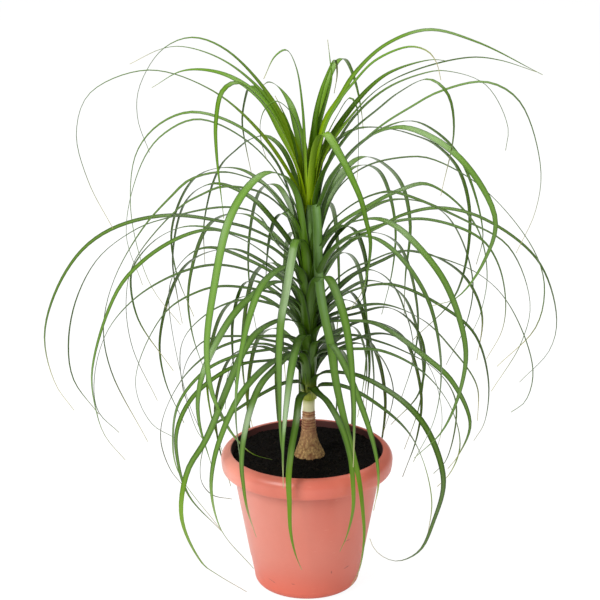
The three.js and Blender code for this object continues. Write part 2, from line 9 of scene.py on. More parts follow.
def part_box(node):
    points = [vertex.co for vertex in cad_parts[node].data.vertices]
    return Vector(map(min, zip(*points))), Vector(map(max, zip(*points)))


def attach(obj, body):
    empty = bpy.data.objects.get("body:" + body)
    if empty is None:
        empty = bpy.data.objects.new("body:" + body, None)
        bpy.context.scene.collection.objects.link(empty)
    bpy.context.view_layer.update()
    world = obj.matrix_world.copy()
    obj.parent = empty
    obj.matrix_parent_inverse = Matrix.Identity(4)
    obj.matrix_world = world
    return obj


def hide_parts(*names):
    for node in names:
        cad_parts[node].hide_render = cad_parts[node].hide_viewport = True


bl_info = {
    "name": "Potted ponytail palm",
    "version": (1, 0, 0),
    "blender": (4, 5, 0),
    "location": "View3D > Sidebar > Palm",
    "description": "Makes a young ponytail palm that stands in potting soil in a round plastic pot",
    "category": "Add Mesh",
}

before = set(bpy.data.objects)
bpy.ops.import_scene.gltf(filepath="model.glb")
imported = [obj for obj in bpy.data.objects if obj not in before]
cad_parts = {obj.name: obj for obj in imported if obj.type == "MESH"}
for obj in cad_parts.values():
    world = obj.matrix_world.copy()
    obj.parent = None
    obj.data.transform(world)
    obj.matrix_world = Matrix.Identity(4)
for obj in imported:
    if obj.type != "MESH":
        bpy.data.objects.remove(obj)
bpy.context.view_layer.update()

# Sizes are in millimetres in the tables and rules, and in metres in the meshes. +Z is up, and the
# viewer stands on the -Y side. A bearing turns from +X (0) through +Y (90, away from the viewer).
MM = 0.001
BODY = "root"

# Pot: a tapered body, and a rim whose skirt stands clear of it
RIM_TOP_THICKNESS = 7
SHOULDER_ROUNDING = 11
SHOULDER_TURN = 80
LIP_ROUNDING = 2
SKIRT_WALL = 2.6
SKIRT_DRAFT = 1.5
HEM_TAPER = 0.4
HEM_BEVEL = 1.8
HEM_RISE = 5
FOOT_ROUNDING = 11
STEP_HEIGHT = 34
STEP_RUN = 2
STEP_DEPTH = 0.5
FLOOR_THICKNESS = 3.5
FLOOR_BEVEL = 6
POT_SIDES = 160
ARC_STEPS = 12
DRAIN_HOLES = 6
DRAIN_RADIUS = 4
DRAIN_RING_RADIUS = 34
DRAIN_SIDES = 24
SHARP_ANGLE = math.radians(32)
BODY_STEPS = 8
INNER_BEND = 8
# How far below the lip the inner wall's darker tone, soil and painted shade together, becomes full
INNER_TONE_DEPTH = 1.2

# The pot's finish: where each tone starts and where it is full, as heights or as distances to the right
RIM_EDGE = (139, 137)
# The pot's left side is paler as a painted highlight: where it starts and where it is full
LEFT_HIGHLIGHT_SIDES = (75, -70)
BLOOM_AND_HIGHLIGHT_HEIGHTS = (2, 62)
# A painted highlight on the left of the rim: where it starts and where it is full
LEFT_RIM_HIGHLIGHT_SIDES = (-52, -86)
LEFT_RIM_HIGHLIGHT_HEIGHTS = (136, 141)
BAND_SIDE = 18
BAND_WIDTHS = (20, 4)
BAND_HEIGHTS = (70, 125)
SPLASH_HEIGHTS = (156, 148)
# The inner wall is darker towards its left and right: where that starts and where it is full, and how strong
# it is
DARK_INNER_SIDES = (55, 80)
DARK_INNER_STRENGTH = 0.85
SCRATCHES_PER_METRE = (90.0, 90.0, 900.0)
SCRATCH_LEVELS = (0.70, 0.76)
DENTS_PER_METRE = 240.0
# Tones that lie over the plastic: strength and screen colour
# A pale painted highlight on the left of the rim
LEFT_RIM_HIGHLIGHT = (0.6, (250, 172, 152))
FRECKLES = (0.1, (205, 92, 66))
SCUFF = (0.9, (120, 52, 38))
BAND = (0.3, (200, 92, 74))
SCRATCH = (0.18, (244, 186, 168))
SPLASH_TONE = (34, 24, 20)
DARK_INNER_TONE = (26, 18, 16)
# Soft patches: how many to a metre, and how soft their edges are
BLOOM_PATCHES = (9.0, 0.25)
FRECKLE_PATCHES = (70.0, 0.35)
WEAR_PATCHES = (420.0, 0.12)
SPLASH_PATCHES = (160.0, 0.25)
# How strong the bloom and the painted highlight are on the rim, how strong the bloom is in its patches, and
# how strong the painted highlight is towards the left
RIM_BLOOM_AND_HIGHLIGHT = 0.4
PATCH_BLOOM = 0.26
LEFT_HIGHLIGHT = 0.62
POT_ROUGHNESS = 0.3
BLOOM_ROUGHNESS = 0.08
SOILED_ROUGHNESS = 0.25

# Small dents and scuffs on the pot's front: side and height of each, half length, half width, tilt
SCUFFS = [
    (44, 73, 5, 0.9, 8),
    (44, 37, 4.5, 1.3, 14),
    (27, 36, 1.1, 3, 0),
    (-38, 20, 6, 0.7, -24),
    (-15, 22, 3, 0.8, -10),
]

# Soil
CLEARANCE = 0.4
SOIL_LEVEL = 152
SOIL_RELIEF = 1.6
SOIL_WAVES = [(0.6, 0.11, 0.13, 1.3), (0.4, 0.31, 0.29, 0.7)]
LEVEL_RING = 4
RELIEF_BLEND = 10
SOIL_RINGS = 60
SOIL_SIDES = 144
CLOD_RELIEF = 1.1
CLOD_SIZE = 7
CLOD_OCTAVES = 4
SOIL_EDGE_GAP = 0.1
SOIL_SHOULDER = 6
SOIL_TONE = 0.15
TRUNK_OVERLAP = 1
# Soil is heaped unevenly along the pot's wall
HEAP = 1.2
HEAP_WIDTH = 5
HEAP_SIZE = 9
HEAP_BASE = 0.3
# Crumbs and fibres that lie on it, in crumb sizes, and the smallest and largest scale of each
CRUMB_SCALES = ((0.5, 0.5, 0.4), (2.2, 1.7, 1.3))
FIBRE_SCALES = ((0.5, 0.5, 0.7), (1.3, 1.3, 1.1))
FIBRE_TILT = 0.25
FIBRE_RADIUS = 0.22
FIBRE_SIDES = 5
FIBRE_SEED = 50
FIBRE_LINE = {
    "Resolution": 5, "Start": (-5.0, 0.0, 0.0), "Middle": (0.0, 2.4, 1.2), "End": (5.0, 0.0, 0.3),
}
PALE_CRUMB_POWER = 2.5
# The soil's finish: patches and grains to a metre with their softness or seam, and the grains' tone
DAMP_PATCHES = (60.0, 0.2)
SOIL_GRAIN = (900.0, 0.3)
SEAM_START = 0.02
GRAIN_TONE = (0.35, (14, 11, 9))
SOIL_SHEEN = 0.12
SOIL_ROUGHNESS = 0.8
DAMP_ROUGHNESS = 0.15

# Stem: the plant stands a little to the right of the pot's axis
PLANT_X = 2
STUB_DEPTH = 30
STUB_RADIUS = 9
TRUNK_FLARE_POWER = 1.5
TOE_STRETCH = 0.14
TOE_HEIGHT = 6
TOE_SPAN = 22
NECK_HEIGHT = 184
SCAR_TOP = 206
SCAR_DEPTH = 0.45
SCAR_WOBBLE = 0.7
COLLAR_RADIUS = 6.6
TRUNK_TOP = 221
TRUNK_SIDES = 96
TRUNK_STEP = 0.7
CORK_DEPTH = 0.9
CORK_SIZE = 2.6
CORK_LEVEL = 1.25
CORK_CONTRAST = 1.5
CORK_SUNK = 0.6
SMOOTH_BARK = 0.25
LOBE_DEPTH = 0.7
LOBE_SPREAD = 1.5
# How much a height counts in each noise, against a place on the way round
SCAR_RISE = 0.15
CORK_RISE = 0.75
LOBE_RISE = 0.06
PALE_SCAR = 198.6
PALE_SCAR_WIDTH = 0.9
PALE_SCAR_TILT = 0.8
BARK_BELOW = 6
CORK_FADE = (NECK_HEIGHT - 30, NECK_HEIGHT + 8)
RELIEF_FADE = (SCAR_TOP - 4, SCAR_TOP)
SCARS_START = (NECK_HEIGHT - 6, NECK_HEIGHT + 4)
SCARS_END = (SCAR_TOP - 0.5, SCAR_TOP + 1)
NECK_BLUSH = (160, 186)
COLLAR_EDGE = (204.5, 206.5)
COLLAR_GREENS = (212.5, 219.5)
# The trunk's finish: patches and flecks to a metre with their softness or seam, and the strength and screen
# colour of each tone
BARK_PATCHES = (130.0, 0.2)
BARK_FLECKS = (620.0, 0.25)
BARK_STRETCH = (1.0, 1.0, 0.7)
NECK_TONE = (0.5, (196, 138, 106))
PATCH_TONE = (0.3, (166, 116, 80))
PALE_SCAR_TONE = (0.85, (236, 200, 168))
COLLAR_GREEN_TONE = (0.8, (168, 176, 60))
SCAR_STRENGTH = 0.85
BARK_ROUGHNESS = 0.82
COLLAR_ROUGHNESS = 0.5

# The green stem's core, under the leaf bases
CORE_RISE = 10
CORE_STEPS = 20
CORE_TAPER = 40
CORE_SHOULDER = 12
CORE_RADIUS = 7.2
CORE_TIP_SHARE = 0.6
CORE_TOP = 432
CORE_SIDES = 32
# The core is coloured like the underside of an old leaf's foot, with that underside's painted shade. These
# are what a blade has there: across, along and face, and then age, tone and dryness.
CORE_BLADE = (0.3, 0.03, -1.0)
CORE_GROWTH = (0.8, 0.5, 2.0)

# Leaves
ROOT_RADIUS = 5
CROWN_ROOT_RADIUS = 2.5
CROWN_FROM = 424
OLD_BELOW = 300
SHEATH_LOWEST = 217
# A leaf clasps the stem before it leaves it: distance from the stem's axis, and height above its root
STEM_SHEATH = [(7.0, -24), (8.2, -12), (10.0, 1)]
CROWN_SHEATH = [(2.6, -26), (3.8, -13), (5.2, 1)]
SECTIONS = 56
SECTION_SPACING = 1.15
SPAN_STEPS = 24
SHEATH_CUP = 8.5
BLADE_CUP = 15
CUP_OPENS = (20, 170)
BASE_FLARE = 0.5
FLARE_LENGTH = 70
TAPER_START = 0.3
TAPER_POWER = 1.4
TIP_WIDTH = 0.8
TIP_THINNING = 0.35
TWIST_START = 60
SWAY_POWER = 6
DRY_FROM = (0.86, 1.02)
HOLLOWS = (0.8, 1.5)
# Crown leaves turn their upper faces a little to the front. The turn comes and goes at these distances from
# the root.
CROWN_LEAN = math.radians(30)
LEAN_STARTS = (10, 60)
LEAN_ENDS = (90, 230)
# Leaves whose bearing has a sine below this grow to the front and get the highest tones: the lightest faces
# and a painted sheen, both painted light. The one at the right that leaves the stem between this height and
# the crown has the painted sheen from its foot on.
FRONT_SINE = -0.6
FRONT_TONES = 0.25
FOOT_SHEEN_FROM = 400
FOOT_SHEEN_TONE = 1.2
# A leaf's finish: where each tone starts and where it is full, as heights or as shares of the leaf's length
# The first three are for the painted sheen on the front leaves
SHEEN_HEIGHTS = (170, 270)
SHEEN_STARTS = (0.08, 0.24)
WHOLE_SHEEN_HEIGHTS = (290, 360)
HANGING_HEIGHTS = (210, 150)
PALE_FOOT = (0.07, 0.03)
PALE_FOOT_HEIGHTS = (246, 226)
LEAF_PATCHES = (22.0, 0.3)
# Where the paler middle, partly a painted highlight, ends and where the dark edges of painted shade start, as
# shares of half a blade, and where the face turns over to the underside with its painted shade
MIDDLE_WIDTHS = (0.66, 0.1)
EDGE_WIDTHS = (0.7, 0.95)
FACE_LEVELS = (0.1, -0.3)
# Where the dry tone starts and where it is full, as shares of a leaf's length past its drying point
DRYING = (-0.06, 0.1)
# Tones that lie over a blade: strength and screen colour
# The paler middle is partly a painted highlight
MIDDLE_TONE = (0.22, (148, 186, 90))
# The dark edges are painted shade in the shaded tone
EDGE_STRENGTH = 0.7
# The darker underside is painted shade
UNDERSIDE_SHADE = (0.3, (56, 84, 30))
# Tone of the painted sheen
SHEEN_TONE = (136, 174, 114)
HANGING_TONE = (0.9, (108, 146, 0))
PALE_FOOT_TONE = (0.8, (188, 196, 84))
VEIN_TONE = (40, 70, 16)
VEIN_SHARE = 0.05
VEIN_RATE = 16.0
VEIN_DEPTH = 0.005
LEAF_ROUGHNESS = 0.29
PATCH_ROUGHNESS = 0.1
# Places between a leaf's root and its crest, each as a share of the way out and a share of the way up
RISE = [(0.24, 0.6), (0.55, 0.88)]

# Leaves at the back follow a rule instead of rows: they climb the stem and turn by the golden ratio. Two
# other steps of that kind spread their lengths and how far they lift.
BACK_LEAVES = 24
BACK_LOWEST = 240
BACK_HIGHEST = 372
BACK_BEARING = 36
BACK_SPAN = 108
BACK_TURN = 0.6180339887
BACK_TURN_START = 0.3
BACK_WIDTH = 7
BACK_REACH = 146
BACK_REACH_GAIN = 108
BACK_SPREAD_TURN = 0.8
BACK_LENGTH_DRAW = 0.7548776662
BACK_LENGTH_SPREAD = 0.12
BACK_LIFT_DRAW = 0.569840291
BACK_LIFT_SPREAD = 16
BACK_CREST = 14
BACK_CREST_GAIN = 84
BACK_CREST_POWER = 2.2
BACK_DROP = 88
BACK_DROP_GAIN = 45
BACK_DROP_POWER = 1.5
# The crest comes at this share of the reach. The bend beyond it has a share of the reach and of the drop, and
# each place of the tail a share of the reach and how far it lies below the furthest place.
BACK_CREST_SHARE = 0.5
BACK_BEND = (0.82, 0.28)
BACK_TAIL = [(0.97, 50), (0.84, 96)]

# The youngest leaves are still folded together in the middle of the crown.
SPEAR_LEAVES = 7
SPEAR_LOWEST = 436
SPEAR_RISE = 2
SPEAR_TURN = 137.5
SPEAR_WIDTH = 7
SPEAR_TOP = 500
SPEAR_STEP = 9
SPEAR_BEND = 22
SPEAR_REACH = 4.5
SPEAR_SPREAD = 0.5

# One row for each leaf: height of its root, bearing, width, and then the places that it passes, each as
# distance from the stem and height. They start at its crest, or else lower, with the places on its way up.
# A last number, where there is one, is how far the tip sways sideways.
CROWN_LEAVES = [
    [438, 172, 8, [[10, 492], [41, 557], [88, 607], [124, 619], [156, 605], [182, 562], [184, 528],
        [172, 492]]],
    [436, 160, 7, [[14, 492], [42, 548], [77, 580], [110, 596], [146, 602], [169, 597], [205, 578]]],
    [434, 190, 8, [[14, 462], [53, 524], [105, 572], [170, 595], [230, 573], [245, 532], [234, 478],
        [210, 426]]],
    [440, 140, 9, [[14, 480], [40, 516], [61, 542], [96, 560], [135, 566], [182, 559], [228, 533]]],
    [442, 110, 12, [[10, 470], [22, 500], [37, 517], [56, 536], [80, 545], [106, 548], [131, 545],
        [149, 537]]],
    [446, 230, 8, [[36, 616], [55, 612], [72, 592]]],
    [444, 50, 9, [[10, 527], [17, 553], [27, 573], [43, 592], [47, 576], [42, 555]]],
    [450, 45, 7, [[10, 510], [34, 575], [32, 592], [28, 616]]],
    [446, 70, 9, [[10, 500], [50, 557], [90, 577], [118, 573], [154, 537], [176, 495], [180, 479]]],
    [440, 86, 9, [[60, 478], [88, 462], [102, 425]]],
    [438, 300, 11, [[34, 527], [69, 507], [90, 490], [107, 473], [117, 454], [126, 434], [113, 380],
        [88, 350]]],
    [442, 2, 11, [[17, 529], [33, 557], [48, 583], [80, 614], [124, 630], [175, 617], [246, 581]]],
    [444, 342, 8, [[18, 526], [34, 558], [49, 578], [73, 604], [110, 621], [129, 617], [138, 606],
        [143, 588]]],
    [440, 20, 8, [[14, 492], [49, 544], [80, 572], [103, 582], [140, 588], [158, 585]]],
    [436, 351, 9, [[14, 490], [44, 538], [75, 572], [117, 594], [170, 608], [200, 606], [238, 595]]],
    [436, 214, 9, [[12, 478], [49, 552], [90, 587], [107, 580], [115, 550], [115, 518], [107, 444]]],
    [438, 124, 9, [[10, 468], [43, 503], [75, 530], [114, 547], [124, 532], [131, 504], [125, 480],
        [108, 436]]],
    [448, 200, 7, [[8, 500], [13, 530], [22, 547], [37, 558], [49, 550], [54, 536], [53, 515], [47, 495]]],
    [442, 338, 8, [[14, 500], [31, 540], [47, 563], [54, 553], [56, 530], [56, 495], [54, 465]]],
    [442, 190, 7, [[12, 490], [20, 525], [29, 548], [36, 562]]],
]

STEM_LEAVES = [
    # Upper right
    [406, 15, 8, [[16, 470], [45, 528], [84, 562], [128, 577], [150, 578], [196, 560], [223, 511],
        [221, 485]]],
    [404, 325, 11, [[12, 460], [46, 520], [90, 561], [114, 581], [148, 599], [170, 588], [179, 553],
        [165, 479]]],
    [402, 355, 9, [[16, 460], [38, 492], [75, 528], [107, 550], [138, 568], [186, 579], [220, 560],
        [245, 488], [241, 440], [222, 393]]],
    [400, 30, 8, [[123, 517], [160, 500], [195, 462], [226, 372], [218, 338]]],
    [398, 325, 11, [[14, 440], [43, 494], [84, 532], [124, 544], [187, 522], [230, 466], [219, 420],
        [187, 373], [157, 358]]],
    [396, 35, 8, [[17, 486], [31, 502], [47, 511], [63, 515], [87, 513], [114, 506], [135, 498], [171, 480],
        [206, 443], [222, 381], [204, 300], [143, 257]]],
    [394, 350, 9, [[108, 499], [130, 498], [176, 476], [215, 440], [245, 396], [254, 360], [246, 317],
        [206, 270]]],
    [398, 60, 9, [[119, 465], [183, 436], [219, 402], [235, 362], [236, 340], [226, 296], [224, 246]]],
    [404, 145, 9, [[14, 455], [24, 481], [33, 495], [44, 504], [57, 508], [77, 501], [96, 486], [115, 468],
        [128, 444], [137, 416], [142, 389], [141, 345]]],
    # Middle right
    [374, 20, 9, [[15, 399], [36, 416], [64, 430], [104, 446], [137, 450], [195, 398], [211, 339],
        [204, 293], [195, 273]]],
    [376, 340, 10, [[24, 420], [47, 444], [75, 460], [95, 464], [177, 440], [221, 418], [246, 360],
        [238, 314], [207, 255]]],
    [352, 0, 10, [[23, 380], [44, 398], [82, 419], [98, 428], [137, 437], [185, 426], [246, 379], [269, 314],
        [263, 276], [231, 238]]],
    [366, 10, 8, [[126, 418], [189, 393], [210, 363], [220, 319], [217, 285], [200, 252]]],
    [366, 320, 10, [[20, 400], [43, 424], [91, 443], [114, 441], [138, 430], [183, 392], [210, 331],
        [207, 288], [184, 230], [147, 188]]],
    [340, 305, 11, [[30, 385], [66, 418], [111, 433], [146, 430], [182, 414], [213, 386], [232, 328],
        [224, 271], [189, 209]]],
    [330, 345, 9, [[29, 357], [46, 372], [68, 383], [90, 394], [110, 398], [182, 381], [217, 351],
        [247, 278], [240, 240], [225, 226]]],
    [316, 30, 9, [[24, 330], [46, 347], [65, 355], [91, 362], [128, 369], [179, 346], [210, 316], [228, 273],
        [222, 222]]],
    [316, 350, 8, [[20, 325], [45, 345], [90, 356], [151, 331], [181, 305], [197, 254], [194, 204],
        [183, 182]]],
    [300, 15, 9, [[24, 312], [80, 321], [129, 299], [163, 263], [195, 214], [197, 172]]],
    [304, 30, 7, [[101, 307], [135, 281], [150, 247], [144, 197], [107, 166]]],
    [298, 330, 10, [[85, 320], [146, 292], [175, 272], [197, 230], [184, 190], [172, 172]]],
    [276, 5, 8, [[20, 286], [47, 291], [70, 285], [100, 273], [140, 248], [163, 210], [154, 140],
        [140, 124]]],
    [270, 345, 9, [[80, 282], [115, 270], [142, 249], [162, 218], [170, 180], [160, 148], [146, 130]]],
    [262, 45, 7, [[75, 264], [115, 237], [137, 187], [120, 141]]],
    [312, 50, 7, [[67, 326], [91, 300], [103, 258], [107, 225], [101, 174]]],
    [376, 45, 11, [[14, 384], [27, 397], [40, 404], [58, 404], [72, 395], [82, 378], [89, 357], [91, 336],
        [87, 317], [76, 308]]],
    [318, 40, 7, [[25, 326], [52, 342], [70, 349], [88, 349], [111, 336], [130, 313], [142, 287], [151, 264],
        [155, 242], [153, 222]]],
    [268, 35, 7, [[94, 275], [124, 263], [166, 222], [185, 172], [187, 137], [178, 108]]],
    [250, 60, 7, [[91, 275], [112, 262], [130, 230], [133, 200], [124, 166]]],
    [244, 325, 10, [[68, 259], [125, 241], [155, 215], [175, 165], [163, 112], [147, 75], [120, 55],
        [102, 54], [88, 61], [82, 72]]],
    [230, 340, 9, [[36, 238], [60, 232], [109, 201], [129, 172], [143, 119], [139, 74]]],
    # Left
    [388, 140, 12, [[10, 400], [19, 414], [26, 421], [36, 424], [46, 416], [53, 400], [58, 378], [61, 349],
        [61, 332]]],
    [404, 170, 8, [[125, 537], [162, 522], [188, 489], [196, 430], [187, 372], [173, 335], [143, 296]]],
    [400, 190, 10, [[14, 438], [58, 507], [117, 540], [154, 526], [177, 497], [196, 420], [180, 361]]],
    [402, 205, 9, [[16, 424], [51, 468], [74, 481], [100, 489], [136, 485], [158, 469], [189, 440],
        [223, 388], [236, 338], [229, 288], [190, 201]]],
    [368, 150, 10, [[14, 382], [51, 422], [73, 438], [119, 447], [155, 423], [175, 355], [169, 303],
        [164, 277]]],
    [378, 185, 9, [[18, 420], [31, 440], [52, 456], [92, 463], [116, 454], [137, 442], [187, 383],
        [197, 341], [192, 286], [166, 222]]],
    [362, 200, 10, [[18, 380], [38, 403], [46, 418], [57, 435], [72, 443], [100, 448], [160, 442],
        [189, 435], [231, 409], [257, 367], [268, 318], [264, 276], [238, 233]]],
    [352, 184, 10, [[18, 385], [58, 413], [90, 423], [149, 432], [204, 421], [241, 397], [271, 352],
        [286, 298], [276, 243], [257, 212]]],
    [356, 165, 8, [[135, 406], [170, 390], [196, 361], [203, 342], [196, 294], [156, 236]]],
    [350, 210, 10, [[30, 370], [47, 388], [72, 409], [90, 420], [107, 428], [126, 432], [160, 427],
        [199, 409], [228, 382], [259, 301], [255, 251], [246, 224], [224, 193]]],
    [334, 155, 8, [[34, 353], [64, 366], [117, 377], [143, 367], [167, 336], [172, 302], [151, 194],
        [131, 149]]],
    [326, 195, 10, [[30, 345], [51, 363], [71, 374], [107, 382], [149, 374], [192, 351], [222, 317],
        [237, 266], [234, 228], [212, 201]]],
    [320, 175, 8, [[95, 346], [123, 338], [158, 313], [192, 232], [175, 183], [150, 167]]],
    [302, 170, 8, [[70, 329], [105, 316], [139, 281], [144, 243], [127, 173], [117, 158]]],
    [290, 130, 7, [[93, 331], [114, 321], [133, 276], [134, 225], [127, 179]]],
    [252, 150, 7, [[58, 272], [85, 262], [105, 225], [108, 185]]],
    [282, 190, 9, [[52, 294], [76, 291], [103, 282], [136, 255], [160, 211], [164, 180], [154, 145],
        [142, 127]]],
    [272, 202, 8, [[51, 282], [86, 280], [120, 268], [150, 236], [158, 195], [153, 157], [104, 78]]],
    [262, 208, 8, [[54, 272], [90, 272], [129, 255], [147, 238], [160, 210], [159, 174], [147, 133],
        [108, 82]]],
    [238, 200, 8, [[27, 240], [54, 231], [97, 209], [114, 199], [122, 177], [126, 155], [124, 136],
        [112, 120], [90, 112]]],
    [270, 165, 7, [[80, 284], [117, 276], [138, 253], [146, 220], [140, 198]]],
    # Front
    [402, 230, 11, [[68, 491], [99, 481], [128, 452], [152, 385], [164, 326], [158, 276], [134, 228],
        [120, 209], [95, 184], [62, 166]]],
    [414, 300, 12, [[12, 446], [17, 425], [19, 390], [24, 350], [35, 321], [45, 300], [57, 260], [70, 231],
        [93, 190], [107, 163], [116, 127], [119, 100], [110, 58], [92, 30]]],
    [386, 250, 10, [[14, 396], [26, 408], [41, 412], [54, 393], [69, 366], [85, 338], [91, 306], [91, 256],
        [88, 207], [79, 169]]],
    [342, 240, 11, [[52, 385], [96, 379], [122, 352], [144, 305], [152, 258], [145, 202], [140, 179]]],
    [324, 222, 11, [[54, 364], [103, 344], [145, 295], [156, 265], [156, 235], [139, 177]]],
    [334, 288, 11, [[75, 378], [125, 345], [150, 276], [152, 226], [150, 198]]],
    [288, 230, 10, [[54, 323], [95, 314], [167, 223], [196, 197], [207, 150], [177, 85], [154, 63],
        [106, 24]]],
    [286, 259, 10, [[60, 306], [97, 288], [138, 231], [142, 204], [140, 172]]],
    [274, 301, 9, [[45, 297], [77, 278], [132, 213], [143, 174], [134, 136]]],
    [264, 238, 10, [[53, 284], [91, 282], [140, 264], [176, 228], [187, 207], [191, 180], [176, 132],
        [113, 59]]],
    [272, 244, 9, [[50, 285], [82, 281], [114, 275], [136, 259], [156, 225], [160, 200], [157, 180],
        [149, 148], [128, 105]]],
    [234, 293, 8, [[51, 233], [89, 218], [112, 194], [120, 165], [121, 138], [106, 100], [87, 72]]],
    [224, 258, 8, [[50, 236], [68, 214], [92, 194], [107, 170], [108, 142], [111, 112], [97, 76],
        [84, 52]], 10],
]

# Camera and light
CAMERA_PLACE = (0, -2.4, 1.163)
CAMERA_PITCH = 19.1
CAMERA_SHIFT = (-0.0115, 0.002)
FLOOR_SIZE = 30
FLOOR_WHITE = 1.1
AIM = (0, 0, 0.3)
# Place and size of each soft light, in metres
LAMPS = {
    "key": ((-1.7, -1.9, 2.1), 1.5),
    "fill": ((1.9, -1.3, 1.3), 1.6),
    "top": ((0.3, 0.9, 2.4), 1.8),
}


def shade(red, green, blue):
    """A screen colour, each part 0 to 255, as linear light."""
    parts = [part / 255 for part in (red, green, blue)]
    return tuple(p / 12.92 if p < 0.04 else ((p + 0.055) / 1.055) ** 2.4 for p in parts)


def length(name, description, default):
    return FloatProperty(name=name, description=description, default=default, min=0, unit="LENGTH")


def amount(name, description, default, unit="NONE"):
    return FloatProperty(name=name, description=description, default=default, unit=unit)


def colour(name, description, default):
    return FloatVectorProperty(
        name=name, description=description, default=default, size=3, min=0, max=1, subtype="COLOR"
    )


def count(name, description, default):
    return IntProperty(name=name, description=description, default=default, min=0)


class PotSettings(bpy.types.PropertyGroup):
    height: length("Height", "Height of the pot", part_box("pot")[1].z)
    rim_radius: length("Rim radius", "Outer radius of the rim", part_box("pot")[1].x)
    mouth_radius: length("Mouth radius", "Radius of the opening", 83.5 * MM)
    rim_band: length("Rim depth", "How far the rim's skirt hangs down", 22 * MM)
    top_radius: length("Body radius", "Outer radius of the body behind the skirt", 82 * MM)
    foot_radius: length("Foot radius", "Outer radius of the body at its foot", 56.5 * MM)
    wall: length("Wall", "Thickness of the body's wall", 3 * MM)
    plastic: colour("Plastic", "Colour of the plastic", shade(224, 112, 90))
    # The bloom tone is also laid on the pot's left side as a painted highlight
    bloom: colour("Bloom", "Paler tone where the plastic has a chalky bloom", shade(220, 148, 132))
    # The inner wall's tone is partly soil and partly painted shade
    stain_and_shade: colour("Stain", "Tone of the inner wall, dull with soil", shade(96, 46, 42))


class SoilSettings(bpy.types.PropertyGroup):
    crumbs: count("Crumbs", "How many loose crumbs lie on the soil", 2600)
    crumb_size: length("Crumb size", "Radius of a middling crumb", 0.8 * MM)
    fibres: count("Fibres", "How many short fibres lie on the soil", 90)
    seed: count("Seed", "Seed of the scatter", 4)
    damp: colour("Damp", "Tone of damp soil", shade(5, 4, 4))
    dry: colour("Dry", "Tone of the driest crumbs", shade(54, 44, 34))


class TrunkSettings(bpy.types.PropertyGroup):
    base_radius: length("Base radius", "Radius of the swollen foot at the soil", 16 * MM)
    neck_radius: length("Neck radius", "Radius above the swelling", 8 * MM)
    scars: count("Scars", "How many ring scars the neck has", 7)
    cork: colour("Cork", "Tone of the raised corky flecks", shade(255, 216, 142))
    crevice: colour("Crevice", "Tone between the flecks", shade(144, 94, 58))
    scar: colour("Scar", "Tone of the ring scars", shade(126, 66, 46))
    collar: colour("Collar", "Tone of the smooth collar below the leaves", shade(240, 234, 186))


class LeafSettings(bpy.types.PropertyGroup):
    thickness: length("Thickness", "Thickness of a leaf at its middle", 0.9 * MM)
    ring_sides: count("Sides", "How many sides a leaf's cross-section has", 12)
    seed: count("Seed", "Seed of the leaves' small differences", 11)
    twist: FloatProperty(
        name="Twist", description="Largest turn of a leaf about its own line", default=math.radians(48),
        subtype="ANGLE",
    )
    grown: colour("Grown", "Tone of a grown leaf", shade(94, 138, 2))
    # The shaded tone is also laid along every blade's edges as painted shade
    shaded: colour("Shaded", "Deep tone of the oldest leaves and of the edges", shade(28, 52, 6))
    young: colour("Young", "Tone of the young leaves and of all leaf bases in the crown", shade(156, 186, 0))
    sheath: colour("Sheath", "Tone of a grown leaf's clasping base", shade(74, 108, 6))
    dry: colour("Dry", "Tone of the drying tips", shade(180, 174, 126))


class StageSettings(bpy.types.PropertyGroup):
    lens: amount("Lens", "Focal length", 140.7, "CAMERA")
    key: amount("Key light", "Strength of the light from the left", 88, "POWER")
    fill: amount("Fill light", "Strength of the light from the right", 5, "POWER")
    top: amount("Top light", "Strength of the light from above", 38, "POWER")
    sky: amount("Surround", "Strength of the even light all round", 0.3)
    floor_glow: amount("Floor glow", "How much of the floor is plain white", 0.85)
    floor: colour("Floor", "Tone of the floor", (0.9, 0.9, 0.9))


